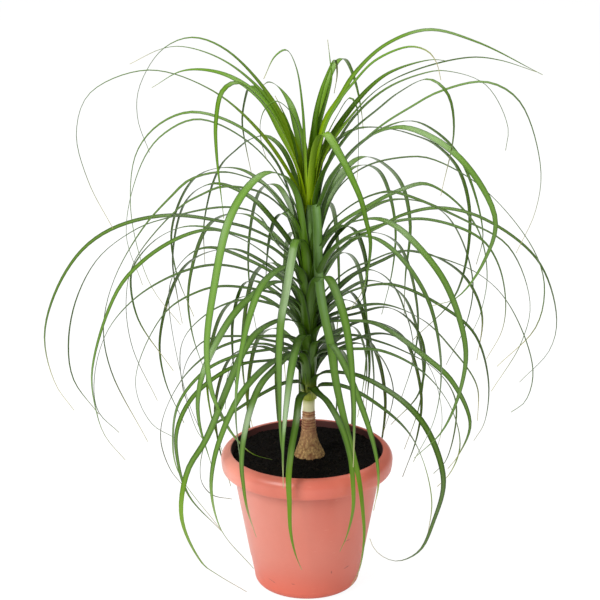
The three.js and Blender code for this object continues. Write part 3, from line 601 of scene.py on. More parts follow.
class Wiring:
    """Adds nodes to a tree. An input takes a plain value or another node's output."""

    def __init__(self, tree):
        self.tree = tree

    def feed(self, socket, value):
        if isinstance(value, bpy.types.NodeSocket):
            self.tree.links.new(value, socket)
        else:
            socket.default_value = value

    def node(self, kind, inputs=None, **settings):
        made = self.tree.nodes.new(kind)
        for key, value in settings.items():
            setattr(made, key, value)
        for key, value in (inputs or {}).items():
            self.feed(made.inputs[key], value)
        return made

    def first(self, kind, inputs=None, **settings):
        """The first output of a new node."""
        return self.node(kind, inputs, **settings).outputs[0]

    def calc(self, operation, *values):
        return self.first("ShaderNodeMath", dict(enumerate(values)), operation=operation)

    def times(self, one, two):
        return self.calc("MULTIPLY", one, two)

    def plus(self, one, two):
        return self.calc("ADD", one, two)

    def times_plus(self, value, factor, extra):
        return self.calc("MULTIPLY_ADD", value, factor, extra)

    def off(self, value, middle):
        """How far the value is from the middle, on either side."""
        return self.calc("ABSOLUTE", self.plus(value, -middle))

    def vector(self, operation, *values):
        return self.first("ShaderNodeVectorMath", dict(enumerate(values)), operation=operation)

    def scaled(self, vector, factor):
        return self.first("ShaderNodeVectorMath", {0: vector, "Scale": factor}, operation="SCALE")

    def parts(self, vector):
        return self.node("ShaderNodeSeparateXYZ", {0: vector}).outputs

    def joined(self, x, y, z):
        return self.first("ShaderNodeCombineXYZ", {0: x, 1: y, 2: z})

    def between(self, value, low, high, start=0.0, end=1.0):
        """Goes smoothly from start to end while the value goes from low to high."""
        inputs = {"Value": value, "From Min": low, "From Max": high, "To Min": start, "To Max": end}
        return self.first("ShaderNodeMapRange", inputs, interpolation_type="SMOOTHSTEP")

    def span(self, place, ends, start=0.0, end=1.0):
        """The same for a place in metres, between two ends in millimetres."""
        return self.between(place, ends[0] * MM, ends[1] * MM, start, end)

    def blend(self, share, one, two):
        """Mixes two colours, each a node's output or a plain one."""
        made = self.node("ShaderNodeMix", {0: share}, data_type="RGBA")
        for socket, value in ((made.inputs[6], one), (made.inputs[7], two)):
            self.feed(socket, value if isinstance(value, bpy.types.NodeSocket) else (*value, 1))
        return made.outputs[2]

    def tint(self, base, share, strength, tone):
        """Lays a tone over the base."""
        return self.blend(self.times(share, strength), base, tone)

    def lay(self, base, share, finish):
        """Lays a tone of the tables over the base."""
        strength, tone = finish
        return self.tint(base, share, strength, shade(*tone))

    def group(self, tree, inputs):
        made = self.tree.nodes.new("ShaderNodeGroup")
        made.node_tree = tree
        for key, value in inputs.items():
            self.feed(made.inputs[key], value)
        return made.outputs[0]

    def mottle(self, point, per_metre, softness):
        inputs = {"Vector": point, "Patches per metre": per_metre, "Softness": softness}
        return self.group(mottle_group(), inputs)

    def flecks(self, point, per_metre, seam):
        return self.group(fleck_group(), {"Vector": point, "Flecks per metre": per_metre, "Seam": seam})

    def cloud(self, point, scale):
        return self.first("ShaderNodeTexNoise", {"Vector": point, "Scale": scale, "Detail": 2.0})

    def attribute(self, name):
        return self.node("ShaderNodeAttribute", attribute_name=name).outputs

    def named(self, name, kind="FLOAT"):
        """A mesh attribute, for a geometry tree."""
        made = self.node("GeometryNodeInputNamedAttribute", {"Name": name}, data_type=kind)
        return made.outputs["Attribute"]


def made_once(name):
    """Wraps a function that makes the node group of this name: it runs unless the file has the group."""
    def wrap(make):
        return lambda: bpy.data.node_groups.get(name) or make(name)
    return wrap


def group_tree(name, kind, output, *inputs):
    """A node tree with one output, and inputs of (name, kind of socket, default)."""
    tree = bpy.data.node_groups.new(name, kind)
    for label, socket_kind, default in inputs:
        socket = tree.interface.new_socket(label, in_out="INPUT", socket_type="NodeSocket" + socket_kind)
        if default is not None:
            socket.default_value = default
    tree.interface.new_socket(output[0], in_out="OUTPUT", socket_type="NodeSocket" + output[1])
    wire = Wiring(tree)
    return wire, wire.node("NodeGroupInput").outputs, wire.node("NodeGroupOutput").inputs[0]


@made_once("Mottle")
def mottle_group(name):
    """Soft patches that are 0 in some places and 1 in others, for the finish of every piece."""
    wire, given, result = group_tree(
        name, "ShaderNodeTree", ("Share", "Float"),
        ("Vector", "Vector", None), ("Patches per metre", "Float", 20.0), ("Softness", "Float", 0.3),
    )
    cloud = wire.first(
        "ShaderNodeTexNoise", {"Vector": given[0], "Scale": given[1], "Detail": 4.0, "Roughness": 0.5}
    )
    low = wire.calc("SUBTRACT", 0.5, given[2])
    high = wire.plus(0.5, given[2])
    wire.feed(result, wire.between(cloud, low, high))
    return wire.tree


@made_once("Flecks")
def fleck_group(name):
    """Small grains with dark seams between them, for cork and for soil."""
    wire, given, result = group_tree(
        name, "ShaderNodeTree", ("Share", "Float"),
        ("Vector", "Vector", None), ("Flecks per metre", "Float", 300.0), ("Seam", "Float", 0.2),
    )
    inputs = {"Vector": given[0], "Scale": given[1]}
    cells = wire.first("ShaderNodeTexVoronoi", inputs, feature="DISTANCE_TO_EDGE")
    wire.feed(result, wire.between(cells, SEAM_START, given[2]))
    return wire.tree


def empty_wiring(owner):
    """An empty tree for a material or a world."""
    owner.use_nodes = True
    owner.node_tree.nodes.clear()
    return Wiring(owner.node_tree)


def new_material(name):
    """A material with its surface shader, and the point of the object that is shaded."""
    material = bpy.data.materials.new(name)
    wire = empty_wiring(material)
    surface = wire.node("ShaderNodeBsdfPrincipled")
    wire.node("ShaderNodeOutputMaterial", {"Surface": surface.outputs[0]})
    point = wire.node("ShaderNodeTexCoord").outputs["Object"]
    return material, wire, surface.inputs, point


def finish(wire, surface, base, roughness, relief, depth):
    """Gives the surface its colour, its roughness and a relief with a depth in millimetres."""
    wire.feed(surface["Base Color"], base)
    wire.feed(surface["Roughness"], roughness)
    inputs = {"Height": relief, "Distance": depth * MM, "Strength": 1.0}
    wire.feed(surface["Normal"], wire.first("ShaderNodeBump", inputs))


def scuff_marks(wire, side, height):
    """1 on the scuffs, 0 elsewhere."""
    marks = None
    for x, z, half_length, half_width, tilt in SCUFFS:
        turn = math.radians(tilt)
        across = wire.calc("SUBTRACT", side, x * MM)
        above = wire.calc("SUBTRACT", height, z * MM)
        run = wire.times_plus(across, math.cos(turn), wire.times(above, math.sin(turn)))
        drop = wire.times_plus(above, math.cos(turn), wire.times(across, -math.sin(turn)))
        run = wire.calc("DIVIDE", run, half_length * MM)
        drop = wire.calc("DIVIDE", drop, half_width * MM)
        offset = wire.node("ShaderNodeVectorMath", {0: wire.joined(run, drop, 0.0)}, operation="LENGTH")
        mark = wire.between(offset.outputs["Value"], 1.0, 0.1)
        marks = mark if marks is None else wire.calc("MAXIMUM", marks, mark)
    return marks


def pot_material(settings):
    """Satin plastic: soft patches of a paler bloom, a painted highlight on the left side and on the left of
    the rim, small scuffs, and an inner wall darkened by soil and painted shade together.
    """
    material, wire, surface, point = new_material("Satin pot plastic")
    side, depth, height = wire.parts(point)
    broad = wire.mottle(point, *BLOOM_PATCHES)
    # The bloom lies in soft patches. The same paler tone grows towards the left as a painted highlight where
    # the light falls. Both are weaker on the rim and fade out towards the foot.
    body = wire.times(wire.span(height, RIM_EDGE, RIM_BLOOM_AND_HIGHLIGHT, 1.0), wire.span(height, BLOOM_AND_HIGHLIGHT_HEIGHTS))
    share = wire.times_plus(broad, PATCH_BLOOM, wire.times(wire.span(side, LEFT_HIGHLIGHT_SIDES), LEFT_HIGHLIGHT))
    base = wire.blend(wire.times(share, body), settings.plastic, settings.bloom)
    # A painted highlight on the left of the rim, where the light falls
    rim_highlight = wire.times(wire.span(side, LEFT_RIM_HIGHLIGHT_SIDES), wire.span(height, LEFT_RIM_HIGHLIGHT_HEIGHTS))
    base = wire.lay(base, rim_highlight, LEFT_RIM_HIGHLIGHT)
    base = wire.lay(base, wire.mottle(point, *FRECKLE_PATCHES), FRECKLES)
    front = wire.calc("LESS_THAN", depth, 0.0)
    worn = wire.times_plus(wire.mottle(point, *WEAR_PATCHES), 0.6, 0.4)
    marks = wire.times(wire.times(scuff_marks(wire, side, height), front), worn)
    base = wire.lay(base, marks, SCUFF)
    band = wire.times(wire.span(wire.off(side, BAND_SIDE * MM), BAND_WIDTHS), front)
    base = wire.lay(base, wire.times(band, wire.span(height, BAND_HEIGHTS)), BAND)
    scratches = wire.cloud(wire.vector("MULTIPLY", point, SCRATCHES_PER_METRE), 1.0)
    base = wire.lay(base, wire.between(scratches, *SCRATCH_LEVELS), SCRATCH)
    inside = wire.attribute("inside")["Fac"]
    # The inner wall is darker: partly soil, partly painted shade inside the pot
    base = wire.blend(inside, base, settings.stain_and_shade)
    splash = wire.times(wire.mottle(point, *SPLASH_PATCHES), wire.span(height, SPLASH_HEIGHTS))
    base = wire.tint(base, inside, splash, shade(*SPLASH_TONE))
    # The inner wall is darker towards its left and right
    darker_sides = wire.span(wire.off(side, 0.0), DARK_INNER_SIDES, 0.0, DARK_INNER_STRENGTH)
    base = wire.tint(base, inside, darker_sides, shade(*DARK_INNER_TONE))
    rough = wire.times_plus(broad, BLOOM_ROUGHNESS, POT_ROUGHNESS)
    rough = wire.times_plus(inside, SOILED_ROUGHNESS, rough)
    dents = wire.calc("SUBTRACT", wire.times(wire.cloud(point, DENTS_PER_METRE), 0.25), marks)
    finish(wire, surface, base, rough, dents, depth=0.2)
    return material


def soil_material(settings):
    """Damp peaty soil with drier crumbs."""
    material, wire, surface, point = new_material("Potting soil")
    damp = wire.mottle(point, *DAMP_PATCHES)
    grain = wire.flecks(point, *SOIL_GRAIN)
    share = wire.times(wire.attribute("tone")["Fac"], wire.times_plus(damp, 0.6, 0.4))
    base = wire.blend(share, settings.damp, settings.dry)
    base = wire.lay(base, grain, GRAIN_TONE)
    surface["Specular IOR Level"].default_value = SOIL_SHEEN
    rough = wire.times_plus(damp, DAMP_ROUGHNESS, SOIL_ROUGHNESS)
    finish(wire, surface, base, rough, grain, depth=0.3)
    return material


def trunk_material(settings):
    """Corky bark with golden flecks, reddish ring scars and a smooth pale collar."""
    material, wire, surface, point = new_material("Corky bark")
    height = wire.parts(point)[2]
    flecks = wire.flecks(wire.vector("MULTIPLY", point, BARK_STRETCH), *BARK_FLECKS)
    share = wire.times(wire.attribute("cork")["Fac"], wire.times_plus(flecks, 0.5, 0.5))
    base = wire.blend(share, settings.crevice, settings.cork)
    base = wire.lay(base, wire.span(height, NECK_BLUSH), NECK_TONE)
    base = wire.lay(base, wire.mottle(point, *BARK_PATCHES), PATCH_TONE)
    base = wire.tint(base, wire.attribute("scar")["Fac"], SCAR_STRENGTH, settings.scar)
    base = wire.lay(base, wire.attribute("pale")["Fac"], PALE_SCAR_TONE)
    collar = wire.span(height, COLLAR_EDGE)
    base = wire.blend(collar, base, settings.collar)
    base = wire.lay(base, wire.span(height, COLLAR_GREENS), COLLAR_GREEN_TONE)
    relief = wire.times(flecks, wire.calc("SUBTRACT", 1.0, collar))
    rough = wire.between(collar, 0.0, 1.0, BARK_ROUGHNESS, COLLAR_ROUGHNESS)
    finish(wire, surface, base, rough, relief, depth=0.25)
    return material


def leaf_material(name, settings, base_tone, base_end, gloss, sheen_share):
    """A strap leaf: a paler middle that is partly a painted highlight, dark edges and a darker underside that
    are painted shade, a painted sheen on the front leaves, fine lengthwise veins, a toned base and a dry tip.
    """
    material, wire, surface, point = new_material(name)
    height = wire.parts(point)[2]
    across, along, face = wire.parts(wire.attribute("blade")["Vector"])
    age, tone, dryness = wire.parts(wire.attribute("growth")["Vector"])
    patches = wire.mottle(point, *LEAF_PATCHES)
    depth = wire.times_plus(age, 0.38, wire.times_plus(tone, -0.3, 0.3))
    base = wire.blend(wire.plus(depth, wire.times(patches, 0.18)), settings.grown, settings.shaded)
    edge = wire.off(across, 0.0)
    # A paler middle, partly a painted highlight
    base = wire.lay(base, wire.between(edge, *MIDDLE_WIDTHS), MIDDLE_TONE)
    # Dark edges: painted shade
    base = wire.tint(base, wire.between(edge, *EDGE_WIDTHS), EDGE_STRENGTH, settings.shaded)
    # A darker underside: painted shade
    base = wire.lay(base, wire.between(face, *FACE_LEVELS), UNDERSIDE_SHADE)
    base = wire.blend(wire.between(along, base_end, 0.0), base, base_tone)
    # A painted sheen on the front leaves, strongest in a streak beside the middle. The leaf with the highest
    # tone has it from its foot on.
    whole = wire.between(tone, 1.0, FOOT_SHEEN_TONE)
    painted_sheen = wire.times(wire.between(tone, 0.5, 1.0), wire.span(height, SHEEN_HEIGHTS))
    painted_sheen = wire.times(painted_sheen, wire.calc("MAXIMUM", wire.between(along, *SHEEN_STARTS), whole))
    streak = wire.between(wire.off(across, 0.2), 0.6, 0.1, 0.15, 0.6)
    extra = wire.times_plus(wire.times(whole, wire.span(height, WHOLE_SHEEN_HEIGHTS)), streak, sheen_share)
    base = wire.tint(base, painted_sheen, extra, shade(*SHEEN_TONE))
    hanging = wire.times(wire.between(tone, 0.6, 0.9), wire.span(height, HANGING_HEIGHTS))
    base = wire.lay(base, hanging, HANGING_TONE)
    foot = wire.times(wire.between(along, *PALE_FOOT), wire.span(height, PALE_FOOT_HEIGHTS))
    base = wire.lay(base, foot, PALE_FOOT_TONE)
    veins = wire.calc("SINE", wire.times(across, VEIN_RATE))
    base = wire.blend(wire.times_plus(veins, VEIN_SHARE, VEIN_SHARE), base, shade(*VEIN_TONE))
    drying = wire.calc("SUBTRACT", along, dryness)
    base = wire.blend(wire.between(drying, *DRYING), base, settings.dry)
    surface["Specular IOR Level"].default_value = gloss
    rough = wire.times_plus(patches, PATCH_ROUGHNESS, LEAF_ROUGHNESS)
    finish(wire, surface, base, rough, veins, depth=VEIN_DEPTH)
    return material


def settle(obj, tree, values):
    """Runs a geometry tree on the object and keeps what it makes as the object's plain mesh."""
    modifier = obj.modifiers.new(tree.name, "NODES")
    modifier.node_group = tree
    for item in tree.interface.items_tree:
        if item.item_type == "SOCKET" and item.in_out == "INPUT" and item.name in values:
            modifier[item.identifier] = values[item.name]
    keep_evaluated(obj)


def keep_evaluated(obj):
    """Swaps the object's mesh for its modifiers' result and removes the modifiers."""
    graph = bpy.context.evaluated_depsgraph_get()
    mesh = bpy.data.meshes.new_from_object(
        obj.evaluated_get(graph), preserve_all_data_layers=True, depsgraph=graph
    )
    obj.modifiers.clear()
    mesh.name = obj.name
    obj.data = mesh


def new_object(name, mesh):
    obj = bpy.data.objects.new(name, mesh)
    bpy.context.scene.collection.objects.link(obj)
    return obj


def hand_over(obj, slot, *nodes):
    """The piece stands for the CAD nodes and rides on their body. Its slot is not used."""
    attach(obj, BODY)
    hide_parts(*nodes)


def clamp_share(value):
    return min(1.0, max(0.0, value))


def smooth_share(value, low, high):
    share = clamp_share((value - low) / (high - low))
    return share * share * (3 - 2 * share)


def arc(centre_x, centre_z, radius, start, end):
    """Points of an arc between two angles in degrees."""
    angles = [math.radians(start + (end - start) * i / ARC_STEPS) for i in range(ARC_STEPS + 1)]
    return [(centre_x + radius * math.cos(a), centre_z + radius * math.sin(a)) for a in angles]


def turned(name, profile, sides, place, shift=0):
    """Turns a profile of (radius, height), which starts and ends on the axis, into a closed mesh.

    place gives a point of the mesh for a radius, a bearing in radians and a height, all in millimetres,
    and shift moves the whole to the right. The second result says for each vertex which profile point
    and bearing it has.
    """
    vertices = []
    spots = []
    rings = []
    for index, (radius, height) in enumerate(profile):
        ring = []
        for k in range(sides if radius > 0 else 1):
            bearing = 2 * math.pi * k / sides
            ring.append(len(vertices))
            x, y, z = place(radius, bearing, height)
            vertices.append([(x + shift) * MM, y * MM, z * MM])
            spots.append((index, bearing))
        rings.append(ring)
    faces = []
    for low, high in zip(rings, rings[1:]):
        for k in range(sides):
            corners = [
                low[k % len(low)], low[(k + 1) % len(low)],
                high[(k + 1) % len(high)], high[k % len(high)],
            ]
            faces.append(list(dict.fromkeys(corners)))
    mesh = bpy.data.meshes.new(name)
    mesh.from_pydata(vertices, [], [face for face in faces if len(face) > 2])
    mesh.polygons.foreach_set("use_smooth", [True] * len(mesh.polygons))
    return mesh, spots


def add_values(mesh, name, values):
    """Adds one number for each vertex of the mesh."""
    mesh.attributes.new(name, "FLOAT", "POINT").data.foreach_set("value", values)


def add_vectors(mesh, name, vectors):
    flat = [part for vector in vectors for part in vector]
    mesh.attributes.new(name, "FLOAT_VECTOR", "POINT").data.foreach_set("vector", flat)


def body_radius(settings, z):
    """Outer radius of the pot's body at a height, in millimetres."""
    rise = (settings.height - settings.rim_band) / MM
    slope = (settings.top_radius - settings.foot_radius) / MM / rise
    return settings.foot_radius / MM + slope * z


def on_body(settings, z, inset=0):
    """Radius and height of a place on the pot's body, or further in by the inset."""
    return body_radius(settings, z) - inset, z


def pot_profile(pot):
    """The pot's outline from the middle of its foot, over the rim and down to the middle of its floor.

    The second result is the index of the first point that lies inside the pot.
    """
    height = pot.height / MM
    rim = pot.rim_radius / MM
    wall = pot.wall / MM
    rim_bottom = height - pot.rim_band / MM
    groove_top = height - RIM_TOP_THICKNESS
    step_top = STEP_HEIGHT + STEP_RUN
    bevel_top = FLOOR_THICKNESS + FLOOR_BEVEL
    foot_centre = body_radius(pot, FOOT_ROUNDING) - FOOT_ROUNDING
    outside = [(0, 0), (DRAIN_RING_RADIUS - 2 * DRAIN_RADIUS, 0), (DRAIN_RING_RADIUS + 2 * DRAIN_RADIUS, 0)]
    outside += arc(foot_centre, FOOT_ROUNDING, FOOT_ROUNDING, -90, 0)
    outside += [
        on_body(pot, STEP_HEIGHT),
        on_body(pot, step_top, -STEP_DEPTH),
    ]
    for i in range(BODY_STEPS):
        z = step_top + (groove_top - step_top) * (i + 1) / BODY_STEPS
        outside.append(on_body(pot, z, -STEP_DEPTH * (1 - i / (BODY_STEPS - 1))))
    outside += [
        (rim - SKIRT_WALL - SKIRT_DRAFT, groove_top),
        (rim - SKIRT_WALL - HEM_TAPER, rim_bottom),
        (rim - HEM_BEVEL, rim_bottom),
        (rim - HEM_BEVEL / 2 - HEM_TAPER / 2, rim_bottom + HEM_RISE / 4),
        (rim - HEM_TAPER, rim_bottom + HEM_RISE),
    ]
    outside += arc(rim - SHOULDER_ROUNDING, height - SHOULDER_ROUNDING, SHOULDER_ROUNDING, 0, SHOULDER_TURN)
    outside += arc(pot.mouth_radius / MM + LIP_ROUNDING, height - LIP_ROUNDING, LIP_ROUNDING, 90, 180)
    inside = [
        on_body(pot, rim_bottom + INNER_BEND, wall),
        on_body(pot, rim_bottom, wall),
        on_body(pot, bevel_top, wall),
        on_body(pot, FLOOR_THICKNESS, wall + FLOOR_BEVEL),
        (DRAIN_RING_RADIUS - 2 * DRAIN_RADIUS, FLOOR_THICKNESS),
        (0, FLOOR_THICKNESS),
    ]
    return outside + inside, len(outside)


def upright(radius, bearing, height):
    return radius * math.cos(bearing), radius * math.sin(bearing), height


class PALM_OT_pot(bpy.types.Operator):
    """Makes the round plastic pot with its deep rim and drain holes"""

    bl_idname = "palm.pot"
    bl_label = "Make pot"

    def execute(self, context):
        settings = context.scene.palm_pot
        profile, first_inside = pot_profile(settings)
        mesh, spots = turned("round_pot", profile, POT_SIDES, upright)
        depth = settings.height / MM
        lip_start = first_inside - ARC_STEPS
        # The inner wall's darker tone, partly soil and partly painted shade, starts at the lip
        soiled_and_shaded = [
            smooth_share(depth - profile[index][1], 0, INNER_TONE_DEPTH) if index >= lip_start else 0
            for index, bearing in spots
        ]
        add_values(mesh, "inside", soiled_and_shaded)
        pot = new_object("round_pot", mesh)
        drills = drain_drills()
        cut = pot.modifiers.new("Drain holes", "BOOLEAN")
        cut.object = drills
        cut.operation = "DIFFERENCE"
        cut.solver = "EXACT"
        keep_evaluated(pot)
        bpy.data.objects.remove(drills)
        pot.data.materials.clear()
        pot.data.materials.append(pot_material(settings))
        pot.data.set_sharp_from_angle(angle=SHARP_ANGLE)
        hand_over(pot, "pot_plastic", "pot")
        return {"FINISHED"}


def drain_drills():
    """One object with a round rod for each drain hole."""
    vertices = []
    faces = []
    for hole in range(DRAIN_HOLES):
        turn = 2 * math.pi * hole / DRAIN_HOLES
        centre = (DRAIN_RING_RADIUS * math.cos(turn), DRAIN_RING_RADIUS * math.sin(turn))
        first = len(vertices)
        for z in (-2 * FLOOR_THICKNESS, 2 * FLOOR_THICKNESS):
            for k in range(DRAIN_SIDES):
                angle = 2 * math.pi * k / DRAIN_SIDES
                x = centre[0] + DRAIN_RADIUS * math.cos(angle)
                y = centre[1] + DRAIN_RADIUS * math.sin(angle)
                vertices.append((x * MM, y * MM, z * MM))
        low = list(range(first, first + DRAIN_SIDES))
        high = [index + DRAIN_SIDES for index in low]
        faces.append(low[::-1])
        faces.append(high)
        for k in range(DRAIN_SIDES):
            after = (k + 1) % DRAIN_SIDES
            faces.append((low[k], low[after], high[after], high[k]))
    mesh = bpy.data.meshes.new("drills")
    mesh.from_pydata(vertices, [], faces)
    return new_object("drills", mesh)


def soil_relief(x, y):
    """The soil's broad unevenness, in millimetres."""
    return SOIL_RELIEF * sum(
        share * math.sin(x * kx + shift) * math.cos(y * ky - shift) for share, kx, ky, shift in SOIL_WAVES
    )


@made_once("Soil scatter")
def crumb_tree(name):
    """Scatters crumbs and fibres on the marked top of the soil."""
    wire, given, result = group_tree(
        name, "GeometryNodeTree", ("Geometry", "Geometry"),
        ("Geometry", "Geometry", None), ("Crumbs per square metre", "Float", 1000.0),
        ("Crumb size", "Float", 0.001), ("Fibres per square metre", "Float", 100.0),
        ("Seed", "Int", 0), ("Material", "Material", None),
    )
    soil, crumb_density, size, fibre_density, seed, material = given[:6]
    crumb = wire.first("GeometryNodeMeshIcoSphere", {"Radius": 1.0, "Subdivisions": 1})
    line = wire.first("GeometryNodeCurveQuadraticBezier", FIBRE_LINE)
    inputs = {"Resolution": FIBRE_SIDES, "Radius": FIBRE_RADIUS}
    section = wire.first("GeometryNodeCurvePrimitiveCircle", inputs)
    inputs = {"Curve": line, "Profile Curve": section, "Fill Caps": True}
    fibre = wire.first("GeometryNodeCurveToMesh", inputs)
    fibre_seed = wire.plus(seed, FIBRE_SEED)
    parts = [
        soil,
        scatter(wire, soil, size, crumb, crumb_density, seed, CRUMB_SCALES, math.pi),
        scatter(wire, soil, size, fibre, fibre_density, fibre_seed, FIBRE_SCALES, FIBRE_TILT),
    ]
    join = wire.node("GeometryNodeJoinGeometry")
    for part in parts:
        wire.feed(join.inputs[0], part)
    smooth = wire.first("GeometryNodeSetShadeSmooth", {"Geometry": join.outputs[0]})
    wire.feed(result, wire.first("GeometryNodeSetMaterial", {"Geometry": smooth, "Material": material}))
    return wire.tree


def scatter(wire, surface, size, thing, density, seed, scales, tilt):
    """Copies of a thing on the marked top of the surface, each with its own size, turn and tone."""
    points = wire.first("GeometryNodeDistributePointsOnFaces", {
        "Mesh": surface, "Selection": wire.named("top"), "Density": density, "Seed": seed,
    })
    scale = random_value(wire, "FLOAT_VECTOR", *scales, seed, 1)
    turn = random_value(wire, "FLOAT_VECTOR", (-tilt, -tilt, -math.pi), (tilt, tilt, math.pi), seed, 2)
    copies = wire.first("GeometryNodeInstanceOnPoints", {
        "Points": points, "Instance": thing, "Scale": wire.scaled(scale, size),
        "Rotation": wire.first("FunctionNodeEulerToRotation", {0: turn}),
    })
    tone = random_value(wire, "FLOAT", 0.0, 1.0, seed, 3)
    toned = wire.first("GeometryNodeStoreNamedAttribute", {
        "Geometry": copies, "Name": "tone", "Value": wire.calc("POWER", tone, PALE_CRUMB_POWER),
    }, data_type="FLOAT", domain="INSTANCE")
    return wire.first("GeometryNodeRealizeInstances", {"Geometry": toned})


def random_value(wire, kind, low, high, seed, draw):
    made = wire.node("FunctionNodeRandomValue", data_type=kind)
    sockets = {socket.name: socket for socket in made.inputs if socket.enabled}
    for name, value in (("Min", low), ("Max", high), ("Seed", wire.plus(seed, draw))):
        wire.feed(sockets[name], value)
    return next(socket for socket in made.outputs if socket.enabled)


class PALM_OT_soil(bpy.types.Operator):
    """Makes the soil, with clods, loose crumbs and short fibres on its top"""

    bl_idname = "palm.soil"
    bl_label = "Make soil"

    def execute(self, context):
        settings = context.scene.palm_soil
        pot = context.scene.palm_pot
        wall = pot.wall / MM
        hole = context.scene.palm_trunk.base_radius / MM - TRUNK_OVERLAP
        bottom = FLOOR_THICKNESS + CLEARANCE
        bevel_top = bottom + FLOOR_BEVEL
        outer = body_radius(pot, SOIL_LEVEL) - wall - SOIL_EDGE_GAP
        shoulder = SOIL_LEVEL - SOIL_SHOULDER
        profile = [
            (0, bottom),
            on_body(pot, bottom, wall + FLOOR_BEVEL + CLEARANCE),
            on_body(pot, bevel_top, wall + CLEARANCE),
            on_body(pot, shoulder, wall + CLEARANCE),
        ]
        first_top = len(profile)
        profile += [(outer + (hole - outer) * i / SOIL_RINGS, SOIL_LEVEL) for i in range(SOIL_RINGS + 1)]
        profile += [
            (STUB_RADIUS + CLEARANCE, SOIL_LEVEL - STUB_DEPTH - CLEARANCE),
            (0, SOIL_LEVEL - STUB_DEPTH - CLEARANCE),
        ]

        def place(radius, bearing, height):
            x, y, z = upright(radius, bearing, height)
            follow = clamp_share((outer - radius) / (outer - hole))
            if height < SOIL_LEVEL:
                follow = 1.0 if radius <= hole and height > bevel_top else 0.0
                return x + PLANT_X * follow, y, z
            relief = soil_relief(x, y) * clamp_share((radius - hole - LEVEL_RING) / RELIEF_BLEND)
            clods = noise.fractal(Vector((x, y, 3.0)) / CLOD_SIZE, 1.0, 2.0, CLOD_OCTAVES) * CLOD_RELIEF
            rough = noise.noise(Vector((x, y, HEAP_SIZE)) / HEAP_SIZE) + HEAP_BASE
            heaped = HEAP * smooth_share(radius, outer - HEAP_WIDTH, outer) * rough
            return x + PLANT_X * follow, y, z + relief + clods + heaped

        mesh, spots = turned("potting_mix", profile, SOIL_SIDES, place)
        last_top = first_top + SOIL_RINGS
        add_values(mesh, "top", [1.0 if first_top <= index <= last_top else 0.0 for index, bearing in spots])
        add_values(mesh, "tone", [SOIL_TONE] * len(spots))
        soil = new_object("potting_mix", mesh)
        area = math.pi * (outer ** 2 - hole ** 2) * MM ** 2
        settle(soil, crumb_tree(), {
            "Crumbs per square metre": settings.crumbs / area,
            "Crumb size": settings.crumb_size,
            "Fibres per square metre": settings.fibres / area,
            "Seed": settings.seed,
            "Material": soil_material(settings),
        })
        hand_over(soil, "potting_soil", "soil")
        return {"FINISHED"}


def trunk_radius(trunk, z):
    """Radius of the smooth trunk at a height, in millimetres."""
    base = trunk.base_radius / MM
    neck = trunk.neck_radius / MM
    if z <= SOIL_LEVEL:
        return base - (base - STUB_RADIUS) * (SOIL_LEVEL - z) / STUB_DEPTH
    rise = (z - SOIL_LEVEL) / (NECK_HEIGHT - SOIL_LEVEL)
    if rise < 1:
        return neck + (base - neck) * (1 - rise) ** TRUNK_FLARE_POWER
    along = clamp_share((z - NECK_HEIGHT) / (SCAR_TOP - NECK_HEIGHT))
    return neck + (COLLAR_RADIUS - neck) * along


def scar_wave(trunk, z, bearing):
    """1 on a ring scar's ridge and -1 in the groove between two, 0 off the scarred neck."""
    wobble = SCAR_WOBBLE * noise.noise(Vector(upright(1, bearing, z * SCAR_RISE)))
    along = (z + wobble - NECK_HEIGHT) / (SCAR_TOP - NECK_HEIGHT)
    fade = smooth_share(z, *SCARS_START) * (1 - smooth_share(z, *SCARS_END))
    return math.cos(along * trunk.scars * 2 * math.pi) * fade


def cork_grain(radius, z, bearing):
    """0 in a crevice of the bark and 1 on a raised fleck."""
    point = Vector(upright(radius, bearing, z * CORK_RISE)) / CORK_SIZE
    return clamp_share(CORK_LEVEL - CORK_CONTRAST * noise.voronoi(point)[0][0])


class PALM_OT_trunk(bpy.types.Operator):
    """Makes the trunk with its swollen corky foot, ring scars and pale collar"""

    bl_idname = "palm.trunk"
    bl_label = "Make trunk"

    def execute(self, context):
        trunk = context.scene.palm_trunk
        start = SOIL_LEVEL - STUB_DEPTH
        heights = [start, start + STUB_DEPTH / 2]
        bark_start = SOIL_LEVEL - BARK_BELOW
        steps = round((TRUNK_TOP - bark_start) / TRUNK_STEP)
        heights += [bark_start + i * TRUNK_STEP for i in range(steps)] + [TRUNK_TOP]
        profile = [(0, start)] + [(trunk_radius(trunk, z), z) for z in heights] + [(0, TRUNK_TOP)]

        def place(radius, bearing, z):
            if radius > 0:
                corky = 1 - smooth_share(z, *CORK_FADE)
                rough = SMOOTH_BARK + (1 - SMOOTH_BARK) * corky
                depth = CORK_DEPTH * rough * (1 - smooth_share(z, *RELIEF_FADE))
                lobes = noise.noise(Vector(upright(LOBE_SPREAD, bearing, z * LOBE_RISE)))
                radius += depth * (cork_grain(radius, z, bearing) - CORK_SUNK) + LOBE_DEPTH * corky * lobes
                radius += SCAR_DEPTH * scar_wave(trunk, z, bearing)
            x, y, z = upright(radius, bearing, z)
            foot = clamp_share(1 - abs(z - SOIL_LEVEL - TOE_HEIGHT) / TOE_SPAN)
            if z > SOIL_LEVEL and x > 0:
                x *= 1 + TOE_STRETCH * foot
            return x, y, z

        mesh, spots = turned("corky_trunk", profile, TRUNK_SIDES, place, PLANT_X)
        rows = [(*profile[index], bearing) for index, bearing in spots]
        add_values(mesh, "cork", [cork_grain(*row) for row in rows])
        add_values(mesh, "scar", [clamp_share(-scar_wave(trunk, z, bearing)) for radius, z, bearing in rows])
        above = [z - PALE_SCAR - PALE_SCAR_TILT * math.sin(bearing) for radius, z, bearing in rows]
        add_values(mesh, "pale", [math.exp(-(rise / PALE_SCAR_WIDTH) ** 2) for rise in above])
        mesh.materials.append(trunk_material(trunk))
        hand_over(new_object("corky_trunk", mesh), "corky_bark", "trunk")
        return {"FINISHED"}


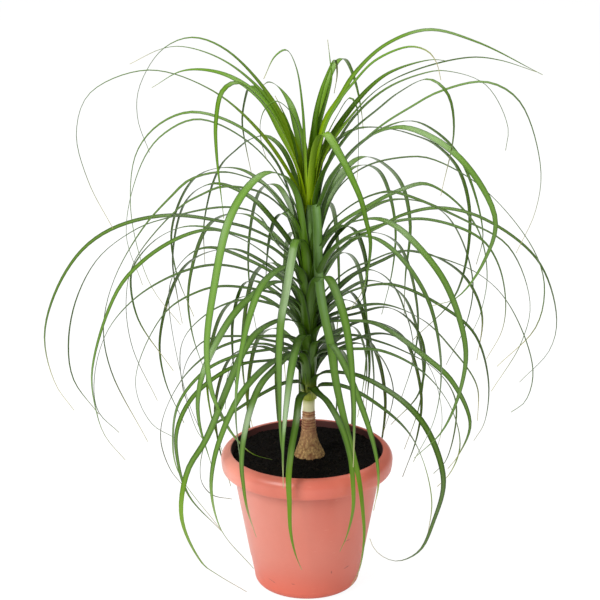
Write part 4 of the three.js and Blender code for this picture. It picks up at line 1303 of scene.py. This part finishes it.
def back_leaf(index):
    """Row of a leaf at the back: low ones droop, the middle ones reach far, high ones stand up first."""
    climb = index / (BACK_LEAVES - 1)
    late = climb ** BACK_CREST_POWER
    height = BACK_LOWEST + (BACK_HIGHEST - BACK_LOWEST) * climb
    stretch = 1 + BACK_LENGTH_SPREAD * (index * BACK_LENGTH_DRAW % 1 - 0.5)
    lift = BACK_LIFT_SPREAD * (index * BACK_LIFT_DRAW % 1 - 0.5)
    reach = stretch * (BACK_REACH + BACK_REACH_GAIN * math.sin(math.pi * BACK_SPREAD_TURN * late))
    crest = height + BACK_CREST + BACK_CREST_GAIN * late + lift * climb
    drop = BACK_DROP + BACK_DROP_GAIN * math.sin(math.pi * climb ** BACK_DROP_POWER)
    bearing = BACK_BEARING + BACK_SPAN * ((index * BACK_TURN + BACK_TURN_START) % 1)
    bend_reach, bend_drop = BACK_BEND
    tail = [(reach * share, crest - drop - fall) for share, fall in BACK_TAIL]
    places = [
        (reach * BACK_CREST_SHARE, crest),
        (reach * bend_reach, crest - drop * bend_drop),
        (reach, crest - drop),
        *tail,
    ]
    return [height, bearing, BACK_WIDTH, places]


def spear_leaf(index):
    """Row of one of the folded leaves in the middle of the crown."""
    root = SPEAR_LOWEST + SPEAR_RISE * index
    top = SPEAR_TOP - SPEAR_STEP * (SPEAR_LEAVES - 1 - index) / 2
    reach = SPEAR_REACH + SPEAR_SPREAD * (index + 1)
    return [root, SPEAR_TURN * index, SPEAR_WIDTH, [(SPEAR_REACH, top - SPEAR_BEND), (reach, top)]]


def leaf_places(row):
    """The places that a leaf's middle line goes through, in millimetres, and the direction across it."""
    root_height, bearing, width, places, *sway = row
    in_crown = root_height >= CROWN_FROM
    root_radius = CROWN_ROOT_RADIUS if in_crown else ROOT_RADIUS
    crest_reach, crest_height = places[0]
    along = [
        (radius, max(root_height + above, SHEATH_LOWEST + radius / 4))
        for radius, above in (CROWN_SHEATH if in_crown else STEM_SHEATH)
    ]
    if crest_height > places[1][1]:
        along += [
            (root_radius + out * (crest_reach - root_radius), root_height + up * (crest_height - root_height))
            for out, up in RISE
        ]
    along += places
    angle = math.radians(bearing)
    outward = Vector((math.cos(angle), math.sin(angle), 0))
    sideways = Vector((-outward.y, outward.x, 0))
    tip_sway = sway[0] if sway else 0
    return [
        Vector((PLANT_X, 0, height)) + outward * reach
        + sideways * (tip_sway * (index / (len(along) - 1)) ** SWAY_POWER)
        for index, (reach, height) in enumerate(along)
    ], sideways


def smooth_line(places):
    """A fine line of points through the places, which bends evenly (centripetal Catmull-Rom)."""
    ends = [2 * places[0] - places[1], *places, 2 * places[-1] - places[-2]]
    line = []
    for p0, p1, p2, p3 in zip(ends, ends[1:], ends[2:], ends[3:]):
        t1 = (p1 - p0).length ** 0.5
        t2 = t1 + (p2 - p1).length ** 0.5
        t3 = t2 + (p3 - p2).length ** 0.5
        for step in range(SPAN_STEPS):
            t = t1 + (t2 - t1) * step / SPAN_STEPS
            a1 = p0 * ((t1 - t) / t1) + p1 * (t / t1)
            a2 = p1 * ((t2 - t) / (t2 - t1)) + p2 * ((t - t1) / (t2 - t1))
            a3 = p2 * ((t3 - t) / (t3 - t2)) + p3 * ((t - t2) / (t3 - t2))
            b1 = a1 * ((t2 - t) / t2) + a2 * (t / t2)
            b2 = a2 * ((t3 - t) / (t3 - t1)) + a3 * ((t - t1) / (t3 - t1))
            line.append(b1 * ((t2 - t) / (t2 - t1)) + b2 * ((t - t1) / (t2 - t1)))
    line.append(places[-1].copy())
    return line


def spaced(line, shares):
    """Points of the line at the given shares of its length, and that length."""
    reached = [0.0]
    for one, two in zip(line, line[1:]):
        reached.append(reached[-1] + (two - one).length)
    points = []
    k = 0
    for share in shares:
        wanted = share * reached[-1]
        while k < len(line) - 2 and reached[k + 1] < wanted:
            k += 1
        part = (wanted - reached[k]) / (reached[k + 1] - reached[k])
        points.append(line[k].lerp(line[k + 1], clamp_share(part)))
    return points, reached[-1]


def blade_width(along, distance, width):
    flare = 1 + BASE_FLARE * (1 - smooth_share(distance, 0, FLARE_LENGTH))
    taper = clamp_share((along - TAPER_START) / (1 - TAPER_START))
    return max(TIP_WIDTH, width * flare * (1 - taper ** TAPER_POWER))


def leaf_lines(name, rows, settings, age_of):
    """A mesh of plain lines, one for each leaf, with what the blade tree needs at each point."""
    draw = random.Random(settings.seed)
    vertices = []
    edges = []
    values = {"width": [], "cup": [], "thick": []}
    vectors = {"side": [], "up": [], "blade_along": [], "growth": []}
    shares = [(i / SECTIONS) ** SECTION_SPACING for i in range(SECTIONS + 1)]
    for row in rows:
        places, sideways = leaf_places(row)
        points, reach = spaced(smooth_line(places), shares)
        root, bearing, width = row[0], math.radians(row[1]), row[2]
        first = len(vertices)
        edges += [(first + i, first + i + 1) for i in range(SECTIONS)]
        twist = draw.uniform(-settings.twist, settings.twist)
        tone = draw.random()
        # Front leaves get high tones, which lighten them as painted light and give them a painted sheen
        if math.sin(bearing) < FRONT_SINE:
            painted_sheen = FOOT_SHEEN_FROM < root < CROWN_FROM and math.cos(bearing) > 0
            tone = FOOT_SHEEN_TONE if painted_sheen else 1 - FRONT_TONES * tone
        dry_from = draw.uniform(*DRY_FROM)
        hollow = draw.uniform(*HOLLOWS)
        lean = CROWN_LEAN * math.cos(bearing) if root >= CROWN_FROM else 0
        growth = (age_of(root), tone, dry_from)
        for i, (point, along) in enumerate(zip(points, shares)):
            tangent = (points[min(i + 1, SECTIONS)] - points[max(i - 1, 0)]).normalized()
            side = (sideways - tangent * sideways.dot(tangent)).normalized()
            up = tangent.cross(side)
            distance = along * reach
            turn = twist * smooth_share(distance, TWIST_START, reach) if reach > TWIST_START else 0
            turn += lean * (smooth_share(distance, *LEAN_STARTS) - smooth_share(distance, *LEAN_ENDS))
            turned_side = side * math.cos(turn) + up * math.sin(turn)
            turned_up = up * math.cos(turn) - side * math.sin(turn)
            opened = smooth_share(distance, *CUP_OPENS)
            vertices.append(point * MM)
            values["width"].append(blade_width(along, distance, width) * MM)
            values["cup"].append((SHEATH_CUP + (BLADE_CUP * hollow - SHEATH_CUP) * opened) * MM)
            values["thick"].append(settings.thickness * (1 - TIP_THINNING * along))
            vectors["side"].append(turned_side)
            vectors["up"].append(turned_up)
            vectors["blade_along"].append((0, along, 0))
            vectors["growth"].append(growth)
    mesh = bpy.data.meshes.new(name)
    mesh.from_pydata(vertices, edges, [])
    for key, numbers in values.items():
        add_values(mesh, key, numbers)
    for key, triples in vectors.items():
        add_vectors(mesh, key, triples)
    return mesh


@made_once("Strap blades")
def blade_tree(name):
    """Turns lines into strap leaves: each cross-section is a thin curved lens, hollow above."""
    wire, given, result = group_tree(
        name, "GeometryNodeTree", ("Geometry", "Geometry"),
        ("Geometry", "Geometry", None), ("Sides", "Int", 12), ("Material", "Material", None),
    )

    def keep(geometry, label, value):
        inputs = {"Geometry": geometry, "Name": label, "Value": value}
        return wire.first("GeometryNodeStoreNamedAttribute", inputs, data_type="FLOAT_VECTOR", domain="POINT")

    lines = wire.first("GeometryNodeMeshToCurve", {"Mesh": given["Geometry"]})
    lines = keep(lines, "middle", wire.first("GeometryNodeInputPosition"))
    ring = wire.first("GeometryNodeCurvePrimitiveCircle", {"Resolution": given["Sides"], "Radius": 1.0})
    ring = keep(ring, "ring", wire.first("GeometryNodeInputPosition"))
    inputs = {"Curve": lines, "Profile Curve": ring, "Fill Caps": True}
    blades = wire.first("GeometryNodeCurveToMesh", inputs)
    across, face = wire.parts(wire.named("ring", "FLOAT_VECTOR"))[:2]
    cup = wire.named("cup")
    angle = wire.calc("DIVIDE", wire.times(across, wire.times(wire.named("width"), 0.5)), cup)
    radius = wire.calc("SUBTRACT", cup, wire.times(face, wire.times(wire.named("thick"), 0.5)))
    out = wire.times(radius, wire.calc("SINE", angle))
    rise = wire.calc("SUBTRACT", cup, wire.times(radius, wire.calc("COSINE", angle)))
    place = wire.named("middle", "FLOAT_VECTOR")
    for direction, distance in (("side", out), ("up", rise)):
        step = wire.scaled(wire.named(direction, "FLOAT_VECTOR"), distance)
        place = wire.vector("ADD", place, step)
    blades = wire.first("GeometryNodeSetPosition", {"Geometry": blades, "Position": place})
    spot = wire.vector("ADD", wire.joined(across, 0.0, face), wire.named("blade_along", "FLOAT_VECTOR"))
    blades = keep(blades, "blade", spot)
    for spent in ("middle", "ring", "width", "cup", "thick", "side", "up", "blade_along"):
        blades = wire.first("GeometryNodeRemoveAttribute", {"Geometry": blades, "Name": spent})
    for kind in ("SetShadeSmooth", "RealizeInstances"):
        blades = wire.first("GeometryNode" + kind, {"Geometry": blades})
    blades = wire.first("GeometryNodeSetMaterial", {"Geometry": blades, "Material": given["Material"]})
    wire.feed(result, blades)
    return wire.tree


def grow(name, rows, settings, material, age_of):
    """One object with a strap leaf for each row."""
    leaves = new_object(name, leaf_lines(name, rows, settings, age_of))
    settle(leaves, blade_tree(), {"Sides": settings.ring_sides, "Material": material})
    return leaves


def stem_age(root):
    """1 for the oldest leaves, at the foot of the stem, and 0 for those next to the crown."""
    return 1 - smooth_share(root, OLD_BELOW, CROWN_FROM)


class PALM_OT_stem(bpy.types.Operator):
    """Makes the green stem and the grown leaves that clasp it"""

    bl_idname = "palm.stem"
    bl_label = "Make leafy stem"

    def execute(self, context):
        settings = context.scene.palm_leaves
        # The last value is the strength of the painted sheen
        material = leaf_material("Grown leaf", settings, settings.sheath, base_end=0.07, gloss=0.4, sheen_share=0.13)
        rows = STEM_LEAVES + [back_leaf(index) for index in range(BACK_LEAVES)]
        leaves = grow("stem_leaves", rows, settings, material, stem_age)
        hand_over(leaves, "grown_leaf", "leafy_stem")
        bottom = TRUNK_TOP + CLEARANCE
        straight = bottom + CORE_RISE
        rise = (CORE_TOP - CORE_TAPER - straight) / CORE_STEPS
        profile = [(0, bottom), (COLLAR_RADIUS, bottom)]
        profile += [(CORE_RADIUS, straight + rise * i) for i in range(CORE_STEPS + 1)]
        profile += [(CORE_RADIUS * CORE_TIP_SHARE, CORE_TOP - CORE_SHOULDER), (0, CORE_TOP)]
        mesh, spots = turned("stem_core", profile, CORE_SIDES, upright, PLANT_X)
        # The core takes the underside's painted shade
        add_vectors(mesh, "blade", [CORE_BLADE] * len(spots))
        add_vectors(mesh, "growth", [CORE_GROWTH] * len(spots))
        mesh.materials.append(material)
        hand_over(new_object("stem_core", mesh), "grown_leaf", "leafy_stem")
        return {"FINISHED"}


class PALM_OT_crown(bpy.types.Operator):
    """Makes the young leaves that grow from the stem's tip"""

    bl_idname = "palm.crown"
    bl_label = "Make crown"

    def execute(self, context):
        settings = context.scene.palm_leaves
        # The last value is the strength of the painted sheen
        material = leaf_material("Young leaf", settings, settings.young, base_end=0.5, gloss=0.15, sheen_share=0.1)
        rows = CROWN_LEAVES + [spear_leaf(index) for index in range(SPEAR_LEAVES)]
        leaves = grow("crown_fan", rows, settings, material, lambda root: 0.0)
        hand_over(leaves, "young_leaf", "crown_leaves")
        return {"FINISHED"}


def add_lamp(name, place, size, power):
    """A square soft light that points at the middle of the plant."""
    light = bpy.data.lights.new(name, "AREA")
    light.shape = "SQUARE"
    light.size = size
    light.energy = power
    lamp = new_object(name, light)
    lamp.location = place
    lamp.rotation_euler = (Vector(AIM) - Vector(place)).to_track_quat("-Z", "Y").to_euler()


def surround(strength):
    """Even light from all round. Where the camera sees it, it is plain white."""
    world = bpy.data.worlds.new("surround")
    wire = empty_wiring(world)
    seen = wire.node("ShaderNodeLightPath").outputs["Is Camera Ray"]
    inputs = {"Color": (1, 1, 1, 1), "Strength": wire.times_plus(seen, 1 - strength, strength)}
    wire.node("ShaderNodeOutputWorld", {"Surface": wire.first("ShaderNodeBackground", inputs)})
    return world


def floor_material(settings):
    """A matt floor that the camera sees as nearly white, with a faint shadow of the pot."""
    material = bpy.data.materials.new("Pale floor")
    wire = empty_wiring(material)
    matt = wire.first("ShaderNodeBsdfDiffuse", {"Color": (*settings.floor, 1)})
    white = wire.first("ShaderNodeEmission", {"Color": (1, 1, 1, 1), "Strength": FLOOR_WHITE})
    share = wire.times(wire.node("ShaderNodeLightPath").outputs["Is Camera Ray"], settings.floor_glow)
    mixed = wire.first("ShaderNodeMixShader", {0: share, 1: matt, 2: white})
    wire.node("ShaderNodeOutputMaterial", {"Surface": mixed})
    return material


class PALM_OT_stage(bpy.types.Operator):
    """Makes the floor, the lights and the camera"""

    bl_idname = "palm.stage"
    bl_label = "Make stage"

    def execute(self, context):
        settings = context.scene.palm_stage
        half = FLOOR_SIZE / 2
        mesh = bpy.data.meshes.new("floor")
        corners = [(-half, -half, 0), (half, -half, 0), (half, half, 0), (-half, half, 0)]
        mesh.from_pydata(corners, [], [(0, 1, 2, 3)])
        mesh.materials.append(floor_material(settings))
        new_object("floor", mesh)
        for name, (place, size) in LAMPS.items():
            add_lamp(name, place, size, getattr(settings, name))
        context.scene.world = surround(settings.sky)
        context.scene.view_settings.view_transform = "Standard"
        camera = bpy.data.cameras.new("camera")
        camera.lens = settings.lens
        camera.shift_x, camera.shift_y = CAMERA_SHIFT
        viewer = new_object("camera", camera)
        viewer.location = CAMERA_PLACE
        viewer.rotation_euler = (math.radians(90 - CAMERA_PITCH), 0, 0)
        context.scene.camera = viewer
        return {"FINISHED"}


class PALM_PT_sidebar(bpy.types.Panel):
    """Lists what can be made"""

    bl_label = "Ponytail palm"
    bl_space_type = "VIEW_3D"
    bl_region_type = "UI"
    bl_category = "Palm"

    def draw(self, context):
        for kind in OPERATORS:
            self.layout.operator(kind.bl_idname)
        for key in SETTINGS:
            box = self.layout.box()
            group = getattr(context.scene, key)
            for name in group.bl_rna.properties.keys():
                if name not in ("rna_type", "name"):
                    box.prop(group, name)


OPERATORS = (PALM_OT_stage, PALM_OT_pot, PALM_OT_soil, PALM_OT_trunk, PALM_OT_stem, PALM_OT_crown)
SETTINGS = {
    "palm_pot": PotSettings,
    "palm_soil": SoilSettings,
    "palm_trunk": TrunkSettings,
    "palm_leaves": LeafSettings,
    "palm_stage": StageSettings,
}


def register():
    for kind in (*SETTINGS.values(), *OPERATORS, PALM_PT_sidebar):
        bpy.utils.register_class(kind)
    for key, kind in SETTINGS.items():
        setattr(bpy.types.Scene, key, PointerProperty(type=kind))


def unregister():
    for key in SETTINGS:
        delattr(bpy.types.Scene, key)
    for kind in (PALM_PT_sidebar, *reversed(OPERATORS), *SETTINGS.values()):
        bpy.utils.unregister_class(kind)


def main():
    register()
    bpy.ops.palm.stage()
    bpy.ops.palm.pot()
    bpy.ops.palm.soil()
    bpy.ops.palm.trunk()
    bpy.ops.palm.stem()
    bpy.ops.palm.crown()


if __name__ == "__main__":
    main()
